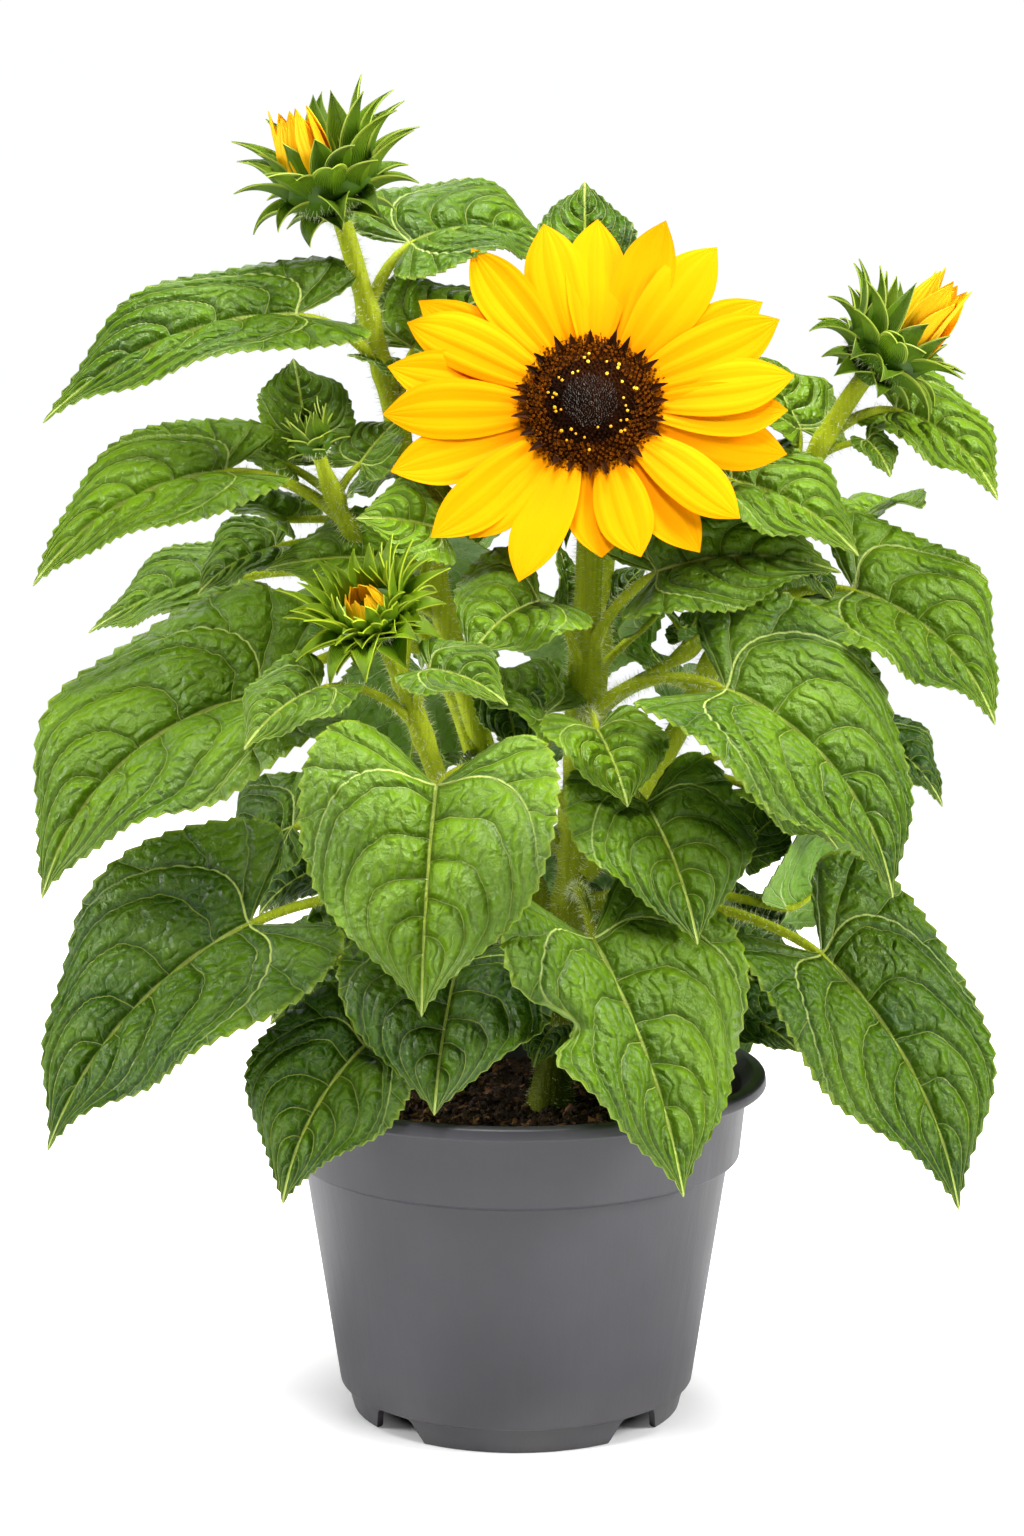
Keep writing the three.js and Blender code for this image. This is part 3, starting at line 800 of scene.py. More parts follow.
soil = {
    "top": 118.2, "crown": 1.5, "sink": 1.2, "rings": 60, "sides": 160, "gap": 0.3, "relief": 1.5,
    "skirt": 8, "kept": 6, "seed": 5,
    # how many waves, the shortest and the longest, and their height
    "waves": [(10, 25, 60, 0.28), (16, 7, 16, 0.16), (20, 2.5, 5, 0.1)],
    # a kind of lump: its finish, name and shape, then its copies
    "crumbs": ("crumb", "soilCrumbs", (0.95, (1.2, 0.9, 0.7), 3), {
        "density": 1.9e5, "smallest": 0.6, "largest": 2.1, "lean": 0.6, "seed": 11}),
    "flecks": ("bark", "barkFlecks", (1.1, (2.0, 0.7, 0.35), 4), {
        "density": 3.2e4, "smallest": 0.6, "largest": 1.8, "lean": 0.6, "seed": 12}),
}


def rippled(across, up, rng):
    # A gentle random surface from sine waves.
    height = np.zeros_like(across)
    for count, shortest, longest, size in soil["waves"]:
        for _ in range(count):
            turn, start = rng.uniform(0, 2 * math.pi, 2)
            pace = 2 * math.pi / rng.uniform(shortest, longest)
            height += size * np.sin(pace * (across * math.cos(turn) + up * math.sin(turn)) + start)
    return height


def lump(name, radius, stretch, seed, low=0.65, high=1.35):
    # One crumb or chip: a small ball of twenty faces knocked out of round.
    mesh = bpy.data.meshes.new(name)
    rng = np.random.default_rng(seed)
    with editing(mesh) as work:
        bmesh.ops.create_icosphere(work, subdivisions=1, radius=radius * mm)
        for vertex in work.verts:
            size = rng.uniform(low, high)
            vertex.co = Vector([place * size * pull for place, pull in zip(vertex.co, stretch)])
    return addObject(name, mesh)


def keepAbove(mesh, level):
    # Lumps that fell on the underside of the ground go, each with all its corners.
    corners = 12
    with editing(mesh) as work:
        lowest = np.array([vertex.co.z for vertex in work.verts]).reshape(-1, corners).min(1)
        low = np.repeat(lowest < level * mm, corners)
        gone = [vertex for vertex, isLow in zip(work.verts, low) if isLow]
        bmesh.ops.delete(work, geom=gone, context="VERTS")


def makeSoil():
    collar, gap, sides = pot["collarFoot"], soil["gap"], soil["sides"]
    inside = pot["collarFootRadius"] - pot["wall"]
    flare = pot["collarTopRadius"] - pot["collarFootRadius"]
    edge = inside + (soil["top"] - collar) * flare / (pot["height"] - pot["rimDrop"] - collar) - gap
    rise = np.linspace(0.02, 1, soil["rings"])
    flat = circles(rise * edge, np.zeros_like(rise), sides)
    waves = rippled(flat[..., 0], flat[..., 1], np.random.default_rng(soil["seed"]))
    height = soil["top"] - soil["crown"] * rise[:, None] ** 2 - soil["sink"] + waves * soil["relief"]
    top = circles(rise * edge, height, sides)
    step = collar - pot["step"]
    floorTop = pot["ringHeight"] + pot["floor"] + gap
    radius, level = zip((edge, soil["top"] - soil["skirt"]), (inside - 0.9, collar),
                        (potInside(step) - gap, step), (potInside(floorTop) - gap, floorTop), (1, floorTop))
    piece = skinned("soilBody", "soil", np.concatenate([top, circles(radius, level, sides)])[::-1])
    base = skinned("soilGround", "soil", top[3:-1][::-1])
    for title in ("crumbs", "flecks"):
        wear, name, outline, copies = soil[title]
        shape = lump(wear, *outline)
        loose = runTree(scatter, base, name, shape=shape, material=finishes[wear], **copies)
        keepAbove(loose.data, soil["top"] - soil["kept"])
        declare(loose, "potting_soil")
        drop(shape)
    drop(base)
    declare(piece, "potting_soil", "root_ball")


makeSoil()
print("soil made")

# ---- limbs

# Radius at the foot and at the tip, and the four points that shape the curve.
limbs = {
    "main_stem": (6.2, 4.4, [(13, -4, 118.5), (24, 4, 200), (30, 26, 366), (28, -4, 377)]),
    "left_branch": (4.8, 3.5, [(22, 4, 168), (-20, 22, 240), (-44, 16, 384), (-64, 0, 449)]),
    "right_branch": (4.6, 3.4, [(25, 3, 205), (66, 8, 250), (98, 6, 350), (128, 0, 391)]),
    "front_branch": (4.4, 3.3, [(17, -2, 150), (-22, -14, 205), (-34, -26, 270), (-48, -42, 299)]),
    "rear_branch": (4.4, 2.6, [(26, 7, 230), (32, 38, 275), (38, 54, 330), (34, 60, 392)]),
    "small_branch": (3.2, 2.4, [(-38, 12, 305), (-58, -4, 322), (-66, -12, 345), (-72, -20, 364)]),
    "tip_shoot": (2.6, 1.6, [(30, 9, 268), (45, 12, 278), (60, 8, 284), (71, 2, 296)]),
    "low_right_shoot": (3, 1.8, [(17, -1, 150), (40, 4, 170), (60, 8, 179), (80, 8, 181)]),
    "low_left_shoot": (3, 1.8, [(15, -3, 138), (-8, 14, 152), (-34, 20, 166), (-56, 14, 170)]),
    "low_rear_shoot": (3, 1.8, [(16, -3, 143), (18, 22, 160), (12, 38, 180), (0, 46, 204)]),
    "left_rear_shoot": (2.8, 1.8, [(-17, 11, 250), (-24, 32, 272), (-38, 44, 296), (-48, 48, 318)]),
}
shoots = [name for name in limbs if name.endswith("shoot")]

# Leaves by limb. Stalk: height on the limb, heading, pitch at its foot and its end, length.
# Blade: heading, pitch at its base and its tip, length, width, roll that lifts its left edge.
leaves = {
    "left_branch": [
        [(416, 45, 75, 25, 34), (25, 25, -35, 68, 56, 34)],
        [(394, -145, 55, 5, 44), (-170, 0, -45, 104, 50, -36)],
        [(372, 50, 95, 55, 32), (40, 40, 10, 48, 52, 36)],
        [(330, -165, 25, -5, 54), (165, 30, 10, 34, 34, -20)],
        [(318, 180, 35, -15, 62), (-165, -10, -50, 36, 36, -25)],
        [(300, 165, 35, -15, 86), (165, -5, -35, 68, 44, -35)],
        [(285, -145, 25, -35, 90), (-160, -5, -75, 116, 86, -42)],
    ],
    "small_branch": [
        [(338, -175, 50, 0, 50), (-170, -5, -55, 86, 44, -40)],
        [(349, 140, 30, 20, 26), (170, 30, -5, 34, 26, -25)],
        [(354, 110, 40, 20, 34), (110, 70, 50, 32, 38, 5)],
        [(348, 10, 70, 40, 16), (50, 45, 25, 28, 28, 15)],
        [(318, -70, 50, 10, 16), (175, 5, -15, 48, 38, -50)],
    ],
    "front_branch": [
        [(270, -80, 55, 10, 40), (-25, 0, -40, 34, 32, 25)],
        [(262, -140, 55, -5, 54), (-140, -10, -50, 40, 34, -25)],
        [(283, 35, 85, 60, 58), (-172, 20, -5, 32, 36, -54)],
        [(188, -155, 30, -20, 104), (-170, -25, -70, 114, 84, -42)],
    ],
    "rear_branch": [
        [(380, -155, 90, 70, 52), (90, 75, 55, 38, 40, 0)],
        [(360, 55, 50, 10, 26), (70, -10, -60, 62, 58, 0)],
        [(325, 140, 50, 10, 36), (130, -10, -60, 80, 70, 0)],
        [(290, 100, 45, 0, 24), (95, -20, -65, 70, 66, 0)],
        [(262, 45, 35, -10, 50), (45, -20, -70, 84, 76, 0)],
    ],
    "main_stem": [
        [(340, -25, 40, -10, 60), (-10, -10, -50, 56, 44, 42)],
        [(285, -45, 65, 25, 52), (0, 20, -20, 70, 52, 46)],
        [(278, -115, 65, 15, 54), (-140, -5, -55, 40, 50, -30)],
        [(274, 18, 55, 35, 32), (18, 50, 20, 38, 38, -20)],
        [(262, -45, 45, -15, 78), (-15, -20, -80, 102, 84, 40)],
        [(262, -85, 30, -20, 54), (-65, -30, -60, 36, 46, 5)],
        [(248, -120, 50, 30, 32), (165, 35, 15, 36, 46, -20)],
        [(230, -65, 40, -20, 60), (-60, -35, -70, 60, 68, 10)],
        [(225, -120, 45, -15, 110), (-100, -55, -85, 84, 92, 0)],
        [(215, -175, 30, -20, 110), (150, -20, -60, 50, 54, -42)],
        [(195, -85, 30, -30, 78), (-50, -45, -75, 100, 96, 8)],
        [(194, 10, 12, -20, 86), (30, 30, 10, 50, 56, -62)],
        [(190, -20, 20, -30, 102), (-20, -40, -80, 110, 80, 42)],
        [(172, -120, 40, -20, 84), (-105, -40, -75, 60, 78, -5)],
        [(138, -137, 35, -15, 100), (-148, -35, -80, 66, 60, -30)],
    ],
    "right_branch": [
        [(368, 30, 45, -5, 36), (-20, -15, -65, 54, 40, 40)],
        [(348, 70, 80, 60, 26), (130, 55, 35, 40, 42, 0)],
        [(325, 35, 30, 0, 46), (50, 20, 0, 36, 50, 0)],
        [(299, -14, 44, -8, 50), (-13, -15, -70, 76, 64, 40)],
        [(285, 15, 45, 5, 30), (10, 0, -35, 36, 42, 36)],
        [(240, 15, 20, -30, 42), (-5, -15, -55, 42, 40, 25)],
    ],
    "tip_shoot": [
        [(288, 60, 60, 50, 8), (60, 50, 20, 18, 16, 0)],
        [(290, -60, 60, 40, 8), (-60, 40, 10, 16, 14, 0)],
        [(292, 170, 60, 50, 8), (170, 50, 30, 16, 14, 0)],
    ],
    "low_right_shoot": [
        [(179, -20, 10, -10, 16), (5, 0, -30, 24, 32, 20)],
        [(180, 25, -30, -60, 20), (-20, -30, -60, 36, 38, 35)],
        [(170, -5, -5, -45, 44), (-15, -15, -45, 28, 30, 30)],
    ],
    "low_left_shoot": [
        [(169, -160, 10, -10, 18), (-150, -20, -50, 34, 36, -40)],
        [(169, 140, 10, -20, 24), (165, -30, -60, 40, 46, -40)],
        [(160, -110, 10, -30, 16), (-120, -40, -70, 30, 34, -30)],
    ],
    "low_rear_shoot": [
        [(190, 150, 20, -15, 44), (150, -35, -80, 92, 80, 0)],
        [(202, 85, 25, -25, 26), (90, -45, -85, 88, 78, 0)],
        [(178, 30, 25, -20, 52), (40, -35, -80, 90, 80, 0)],
    ],
    "left_rear_shoot": [
        [(296, 150, 30, -20, 34), (150, -25, -70, 72, 62, 0)],
        [(312, 80, 45, 0, 18), (85, -15, -75, 72, 60, 0)],
        [(276, 105, 25, -30, 30), (105, -40, -85, 78, 66, 0)],
    ],
}

limbLook = {
    "sides": 26, "step": 2.2, "ridges": 6, "ridge": 0.035, "lump": 0.03, "swell": 0.8, "swellLength": 4.5,
    "flare": 2, "flareEnd": 12, "buried": 7, "stalkSides": 10, "stalkStep": 5, "seed": 21,
}


def onLimb(name, shares):
    # Places on a limb's curve at shares of its way along.
    a, b, c, d = np.array(limbs[name][2], float)
    s = np.reshape(shares, (-1, 1))
    return a * (1 - s) ** 3 + 3 * b * s * (1 - s) ** 2 + 3 * c * s ** 2 * (1 - s) + d * s ** 3


def limbRadius(name, share):
    foot, tip, _ = limbs[name]
    flare = limbLook["flare"] if name == "main_stem" else 0
    return foot + (tip - foot) * share + flare * np.exp(-limbLook["flareEnd"] * share)


def shareAt(name, height, halvings=30):
    # Where along a limb it reaches a height.
    low, high = 0.0, 1.0
    for _ in range(halvings):
        middle = (low + high) / 2
        if onLimb(name, middle)[0][2] < height:
            low = middle
        else:
            high = middle
    return low


hairy = Heap("stem")  # stems and stalks, to grow bristles on


def addStem(heap, rings, box=None):
    addRings(heap, rings, "stem", box)
    addRings(hairy, rings, "stem")


def addLimb(heap, name, rng):
    fine = onLimb(name, np.linspace(0, 1, 400))
    reach = np.linalg.norm(np.diff(fine, axis=0), axis=1).sum()
    share = np.linspace(0, 1, int(reach / limbLook["step"]))
    centres = onLimb(name, share)
    radius = limbRadius(name, share)
    for stalk, _ in leaves[name]:
        away = (share - shareAt(name, stalk[0])) * reach
        radius = radius + limbLook["swell"] * np.exp(-(away / limbLook["swellLength"]) ** 2)
    if name == "main_stem":
        below = np.array([[0, 0, -limbLook["buried"]], [0, 0, -limbLook["buried"] / 2]])
        centres = np.concatenate([centres[:1] + below, centres])
        radius = np.concatenate([radius[:1], radius[:1], radius])
    turn = turnsOf(limbLook["sides"])
    rise = np.arange(len(centres))[:, None] * limbLook["step"]
    phase = rng.uniform(0, 2 * np.pi, 3)
    relief = limbLook["ridge"] * np.cos(limbLook["ridges"] * turn + 0.01 * rise + phase[0])
    relief = relief + limbLook["lump"] * np.sin(0.13 * rise + phase[1]) * np.cos(2 * turn + phase[2])
    addStem(heap, ringsAlong(centres, radius[:, None] * (1 + relief), limbLook["sides"]))


# ---- leaves

bladeLook = {
    "thickness": 0.55, "lift": 0.52, "flatten": 0.34, "sweep": 1.35, "toothPower": 14, "tooth": 1.6,
    "wave": 0.15, "twist": 0.09, "stalkFoot": 2.5, "stalkEnd": 1.75, "ribEnd": 0.45, "ribReach": 0.62,
    "ribs": 12, "seed": 8,
    # the tone at a low height, how much paler a crown's height makes it, and how far it strays
    "lowTone": (150, 0.12), "rise": (260, 0.5), "stray": (-0.1, 0.25), "shootTone": -0.2, "smallTone": -0.3,
    # up to this length: teeth on a side, columns
    "detail": [(30, 12, 14), (45, 17, 20), (65, 22, 28), (1000, 28, 38)],
    # leaves of their own: a paler or darker tone, and a bite in the edge as side, place along the blade,
    # depth and width as shares, and dip in mm. The tones are painted light and shade: the darker ones paint
    # shade on leaves at the back and left of the crown and deep inside it, the paler ones paint light on two
    # low leaves at the front
    "shapes": {
        ("main_stem", 11): {"bite": (-1, 0.4, 0.5, 0.055, 5), "tone": 0.14},
        ("main_stem", 13): {"tone": 0.16},
        ("rear_branch", 5): {"tone": -0.15},
        ("front_branch", 4): {"tone": -0.2},
        ("rear_branch", 1): {"tone": -0.35},
        ("left_branch", 1): {"tone": -0.3},
        ("left_branch", 2): {"tone": -0.35},
        ("small_branch", 1): {"tone": -0.15},
        ("main_stem", 8): {"tone": -0.1},
    },
}
leafBoxes = [(0.004, 0.45, 0.004, 0.996), (0.46, 0.906, 0.004, 0.996), (0.975, 0.996, 0.004, 0.996)]
stalkBox = (0.916, 0.965, 0.004, 0.996)


def edgeForward(share):
    # The base of the blade is heart-shaped, so its edge first runs back.
    return share - 2.05 * np.sin(np.pi * share) * (1 - share) ** 6


def edgeOut(share):
    # Half width, 1 at its widest.
    return share ** 0.8 * (1 - share) ** 1.62 / 0.2153


def evenRows(length, width, count, samples=800):
    # Shares of the length whose edge points are evenly spaced round the margin.
    share = np.linspace(0, 1, samples)
    out, forward = width / 2 * edgeOut(share), length * edgeForward(share)
    reach = np.concatenate([[0], np.cumsum(np.hypot(np.diff(out), np.diff(forward)))])
    return np.interp(np.linspace(0.004, 0.998, count + 1) * reach[-1], reach, share)


def pace(places, values):
    # Millimetres along the sheet for each 1 that the values change.
    down, over = np.gradient(places, axis=0), np.gradient(places, axis=1)
    a, b, c = (down ** 2).sum(-1), (down * over).sum(-1), (over ** 2).sum(-1)
    first, second = np.gradient(values, axis=0), np.gradient(values, axis=1)
    slope = (c * first ** 2 - 2 * b * first * second + a * second ** 2) / np.maximum(a * c - b ** 2, 1e-6)
    return np.clip(1 / np.sqrt(np.maximum(slope, 1e-9)), 1, 200)


def addBlade(heap, base, row, tone, rng, boxes=None, bite=(1, 0.5, 0, 1, 0)):
    # Gives back the line of its midrib, which the stalk runs on along, and which way is up there.
    heading, pitch, endPitch, length, width, roll = row
    look = bladeLook
    teeth, columns = next(detail[1:] for detail in look["detail"] if length <= detail[0])
    rows = evenRows(length, width, teeth * 4)
    line, along, left, up = midrib(base, heading, pitch, endPitch, length, roll, length * rows)
    side = np.linspace(-1, 1, columns + 1)[None, :]
    out = np.abs(side)
    s = rows[:, None]
    saw = (np.arange(len(rows)) % 4 / 3)[:, None] * np.clip(s / 0.05, 0, 1) * np.clip((1 - s) / 0.07, 0, 1)
    biteSide, biteShare, biteDepth, biteWidth, biteDip = bite
    hollow = np.exp(-((s - biteShare) / biteWidth) ** 2) * (side * biteSide > 0) * out ** 2
    half = width / 2 * edgeOut(s)
    tooth = look["tooth"] * (length / 90) ** 0.5
    jags = np.sign(side) * out ** look["toothPower"] * tooth * saw
    across = side * half * (1 - biteDepth * hollow) + jags
    forward = length * (edgeForward(s) - s) * out ** look["sweep"]
    phase = rng.uniform(0, 2 * np.pi, 4)
    waves = np.sin(2 * np.pi * rng.uniform(1.8, 2.6) * s + np.where(side > 0, phase[0], phase[1]))
    wave = look["wave"] * half * out ** 2 * waves
    twist = look["twist"] * half * side * np.sin(np.pi * s + phase[2])
    flat = line[:, None] + along[:, None] * forward[..., None] + left[:, None] * across[..., None]
    past, aside = veinPlaces(s + 0 * side, side + 0 * s)
    pastPace, asidePace = pace(flat, past), pace(flat, aside)
    distance = np.minimum(np.abs(across), np.abs(past) * pastPace)
    taper = np.clip(4 * s, 0, 1) ** 0.5 * np.clip(2.8 * (1 - s), 0, 1) * (1 - 0.9 * out ** 5)
    raised = (veinRelief(past, aside, side, distance, tone, pastPace, asidePace) - 0.5) * taper
    lift = half * (look["lift"] * out - look["flatten"] * out ** 2)
    lift = lift + wave + twist + raised - biteDip * hollow
    rowUp = up[:, None]
    plane = np.stack([across / 100, s * length / 100 + forward / 100 + 0 * side], -1)
    addShell(heap, flat + rowUp * lift[..., None], rowUp * look["thickness"], "leaf", "under", plane, boxes,
             tone=tone, margin=np.maximum(out, np.clip(s - 0.93, 0, 0.07) / 0.07), past=past, aside=aside,
             pastPace=pastPace, asidePace=asidePace, size=0.35 + 0.65 * length / 100)
    reach = length * np.linspace(0.03, look["ribReach"], look["ribs"])
    ribLine, _, _, ribUp = midrib(base, heading, pitch, endPitch, length, roll, reach)
    return ribLine, ribUp


def addLeaf(heap, limb, rows, rng, boxes=None, box=None, tone=0, **shape):
    (height, heading, rise, level, length), blade = rows
    start = onLimb(limb, shareAt(limb, height))[0]
    steps = length * np.linspace(0, 1, max(6, int(length / limbLook["stalkStep"])))
    line = midrib(start, heading, rise, level, length, 0, steps)[0]
    (low, least), (climb, gain) = bladeLook["lowTone"], bladeLook["rise"]
    bright = least + gain * (line[-1][2] - low) / climb
    tone = float(np.clip(bright + rng.uniform(*bladeLook["stray"]) + tone, 0.02, 0.95))
    ribLine, ribUp = addBlade(heap, line[-1], blade, tone, rng, boxes, **shape)
    slim = min(1.0, 0.5 + blade[3] / 120)
    stalk = np.linspace(bladeLook["stalkFoot"], bladeLook["stalkEnd"], len(line)) * slim
    rib = np.linspace(bladeLook["stalkEnd"] * 0.85, bladeLook["ribEnd"], len(ribLine)) * slim
    centres = np.concatenate([line, ribLine - ribUp * (rib + 0.25)[:, None]])
    for _ in range(3):  # eases the bend where the stalk meets the blade
        centres[1:-1] = (centres[:-2] + 2 * centres[1:-1] + centres[2:]) / 4
    addStem(heap, ringsAlong(centres, np.concatenate([stalk, rib]), limbLook["stalkSides"]), box)


def camel(name):
    first, *rest = name.split("_")
    return first + "".join(word.capitalize() for word in rest)


def makeLimbsAndLeaves():
    rng = np.random.default_rng(limbLook["seed"])
    leafRng = np.random.default_rng(bladeLook["seed"])
    for name, rows in leaves.items():
        heap = Heap("stem", "leaf", "under")
        addLimb(heap, name, rng)
        if name in shoots:
            for pair in rows:
                addLeaf(heap, name, pair, leafRng, tone=bladeLook["shootTone"])
        declare(heap.make(camel(name)), "stem", name)
        if name in shoots:
            continue
        for index, pair in enumerate(rows, 1):
            blade = Heap("stem", "leaf", "under")
            own = bladeLook["shapes"].get((name, index), {})
            addLeaf(blade, name, pair, leafRng, leafBoxes, stalkBox, **own)
            declare(blade.make(f"{camel(name)}Leaf{index}"), "leaf", f"{name}_leaf_{index}")


makeLimbsAndLeaves()
print("limbs and leaves made")

# ---- flower heads and buds, each worked out in its own axes: right, upward and ahead

# A cup is a line of (forward distance, radius). Bract whorls: count, how far up the cup, heading of the
# first, pitch at its foot and tip, length, width. Petals: count, radius of their ring, the same five, and
# tone. They stand in a bundle off the middle, and open is the heading and half the angle of the side where
# they show, with the share of their length that the bracts there keep.
heads = {
    "flower_head": {
        "on": "main_stem", "cup": [(0, 4.6), (2.5, 7.5), (5, 17), (9, 25), (13, 27)],
        "whorls": [(13, 0.35, 0, 4, -28, 36, 14), (13, 0.48, 14, 6, -20, 38, 14),
                   (12, 0.6, 5, 8, -14, 36, 13)],
        "petals": [], "open": (0, 0, 1),
    },
    "left_bud": {
        "on": "left_branch", "cup": [(0, 3.6), (3, 6), (7, 13), (12, 17.5), (19, 18.5), (23, 14), (24, 5)],
        "whorls": [(7, 0.14, 10, 24, -50, 17, 12), (9, 0.27, 40, 46, -32, 24, 13),
                   (10, 0.42, 0, 68, 2, 30, 14), (10, 0.56, 20, 84, 22, 32, 13),
                   (10, 0.7, 5, 96, 58, 32, 12)],
        "petals": [(10, 9, 0, 86, 106, 30, 10.5, 0.9), (6, 4.5, 20, 90, 98, 30, 9.5, 0.6)],
        "bundle": (0, -7.5), "open": (270, 62, 0.6),
    },
    "right_bud": {
        "on": "right_branch", "cup": [(0, 3.5), (3, 6), (7, 12), (12, 15.5), (17, 16), (20, 12), (21, 4)],
        "whorls": [(7, 0.14, 10, 24, -50, 17, 13), (9, 0.27, 40, 46, -32, 24, 14),
                   (9, 0.42, 0, 68, 2, 27, 14), (9, 0.56, 20, 84, 22, 28, 13), (9, 0.7, 5, 96, 58, 28, 11)],
        "petals": [(8, 6.5, 0, 84, 92, 35, 12.5, 0.9), (4, 3, 20, 88, 94, 35, 11.5, 0.6)],
        "bundle": (-2.5, -5.5), "open": (245, 62, 0.6),
    },
    "front_bud": {
        "on": "front_branch",
        "cup": [(0, 3.4), (3, 6), (6, 11), (10, 14), (14, 14), (16, 10), (13, 6.5), (9, 5)],
        "whorls": [(8, 0.2, 10, 12, -60, 18, 13), (11, 0.34, 40, 40, -30, 22, 13),
                   (13, 0.48, 0, 60, 0, 25, 10), (15, 0.62, 16, 76, 24, 25, 7), (17, 0.76, 5, 88, 50, 21, 6),
                   (15, 0.9, 12, 98, 96, 13, 5)],
        "petals": [(15, 8, 0, 92, 122, 15, 5, 1)],
        "bundle": (0, 0), "open": (317, 60, 0.6), "wear": "youngBract", "curl": 2.2, "low": 0.85,
    },
    "small_bud": {
        "on": "small_branch", "cup": [(0, 2.5), (2, 4), (4, 6.5), (7, 7.5), (10, 6), (11, 3)],
        "whorls": [(6, 0.15, 10, 50, -10, 12, 6), (8, 0.35, 40, 76, 50, 12, 7), (9, 0.55, 0, 92, 84, 13, 7),
                   (9, 0.75, 20, 104, 108, 11, 6.5)],
        "petals": [], "open": (0, 0, 1),
    },
}
bractLook = {"rows": 22, "columns": 8, "thickness": 0.5, "drift": 0.1, "cup": 0.45, "tuck": 1.5, "seed": 31}
petalLook = {
    "rows": 14, "columns": 6, "thickness": 0.35, "drift": 0.02, "fold": 0.35, "roll": 15, "foot": 0.62,
}
cupSides = 28


def headPlace(limb):
    # The tip of a limb, and the axes of the head on it.
    tip, before = onLimb(limb, [1, 0.995])
    ahead = unit(tip - before)
    upward = unit(np.array([0, 0, 1]) - ahead * ahead[2])
    return tip, np.array([np.cross(-ahead, upward), upward, ahead])


def cupAt(cup, share):
    # Forward distance and radius at a share of the cup's depth.
    forward = share * max(place for place, _ in cup)
    rising = [pair for index, pair in enumerate(cup) if index == 0 or pair[0] > cup[index - 1][0]]
    return forward, np.interp(forward, *zip(*rising))


def bractOut(s):
    # Half width of a bract, 1 at its widest: an oval body that draws out into a long point.
    return (s + 0.12) ** 0.6 * (1 - s) ** 1.35 / 0.374


def petalOut(s):
    # A petal in the bud: even, with a round end.
    return np.minimum(1, 0.6 + s) * np.sin(np.pi / 2 * np.minimum(1, 2.2 * (1 - s)))


def chaffOut(s):
    # A short pointed scale at the edge of the disc.
    return 1.05 * (1 - s) ** 0.8


def addStrip(heap, head, spine, shape, side, s, thickness, wear, tone, fade=0):
    # A bract, petal or ray about its midrib: shape is its half width, its drift aside and its lift.
    tip, axes = head
    line, _, left, up = spine
    half, drift, lift = shape
    sheet = line[:, None] + left[:, None] * (half * side + drift)[..., None] + up[:, None] * lift[..., None]
    plane = np.stack([side + 0 * s, s + 0 * side], -1)
    margin = np.maximum(np.abs(side), fade) + 0 * s
    addShell(heap, tip + sheet @ axes, (up[:, None] * thickness) @ axes, wear, wear, plane, tone=tone,
             margin=margin)


def addScale(heap, head, start, row, look, out, tone, rng, wear):
    # One bract or petal.
    heading, pitch, endPitch, length, width = row
    rows = np.linspace(0.03, 0.995, look["rows"] + 1)
    roll = look.get("roll", 0) + rng.uniform(-9, 9)
    spine = midrib(start, heading, pitch, endPitch, length, roll, length * rows)
    side = np.linspace(-1, 1, look["columns"] + 1)[None, :]
    s = rows[:, None]
    half = width / 2 * out(s)
    if "cup" in look:
        lift = look["cup"] * half * side ** 2 - 0.12 * half * np.exp(-(side / 0.16) ** 2)
    else:
        lift = look["fold"] * half * side ** 2
    drift = look["drift"] * length * np.sin(rng.uniform(1.6, 3) * s + rng.uniform(0, 6)) * s
    fade = np.clip(s - 0.9, 0, 0.1) / 0.1
    addStrip(heap, head, spine, (half, drift, lift), side, s, look["thickness"], wear, tone, fade)


def addHead(name, head):
    rng = np.random.default_rng(bractLook["seed"] + len(name))
    spot = tip, axes = headPlace(head["on"])
    cup = head["cup"]
    wear, curl = head.get("wear", "bract"), head.get("curl", 1.3)
    heap = Heap(wear, "petal")
    fine = np.linspace(0, len(cup) - 1, 4 * len(cup))
    forward, radius = (np.interp(fine, np.arange(len(cup)), levels) for levels in zip(*cup))
    rings = tip + circles(radius, forward, cupSides) @ axes
    addRings(heap, rings, wear)
    addRings(hairy, rings[:len(fine) // 2], "stem")
    middle, width, low = head["open"]

    def isOpen(heading):  # whether it lies on the side where the petals show
        return abs((heading - middle + 180) % 360 - 180) < width

    for count, share, first, pitch, endPitch, length, broad in head["whorls"]:
        level, reach = cupAt(cup, share)
        for index in range(count):
            heading = first + (index + rng.uniform(-0.22, 0.22)) * 360 / count
            start = towards(heading, 0.0) * (reach - bractLook["tuck"])
            start = start + (0, 0, level + rng.uniform(-0.8, 0.8))
            row = [heading + rng.uniform(-8, 8), pitch + rng.uniform(-7, 7),
                   endPitch + curl * rng.uniform(-22, 14), length * rng.uniform(0.85, 1.12),
                   broad * rng.uniform(0.88, 1.1)]
            if share > 0.45 and isOpen(heading):
                row[3] *= low
            addScale(heap, spot, start, row, bractLook, bractOut, rng.uniform(0.1, 0.75), rng, wear)
    for count, ring, first, pitch, endPitch, length, broad, tone in head["petals"]:
        foot = np.array([*head["bundle"], petalLook["foot"] * max(level for level, _ in cup)])
        for index in range(count):
            heading = first + (index + rng.uniform(-0.2, 0.2)) * 360 / count
            row = (heading, pitch + rng.uniform(-5, 5), endPitch + rng.uniform(-6, 6),
                   length * rng.uniform(0.85, 1.1) * (head.get("low", 1) if isOpen(heading) else 1), broad)
            addScale(heap, spot, foot + towards(heading, 0.0) * ring, row, petalLook, petalOut,
                     np.clip(tone + rng.uniform(-0.25, 0.15), 0, 1), rng, "petal")
    return heap


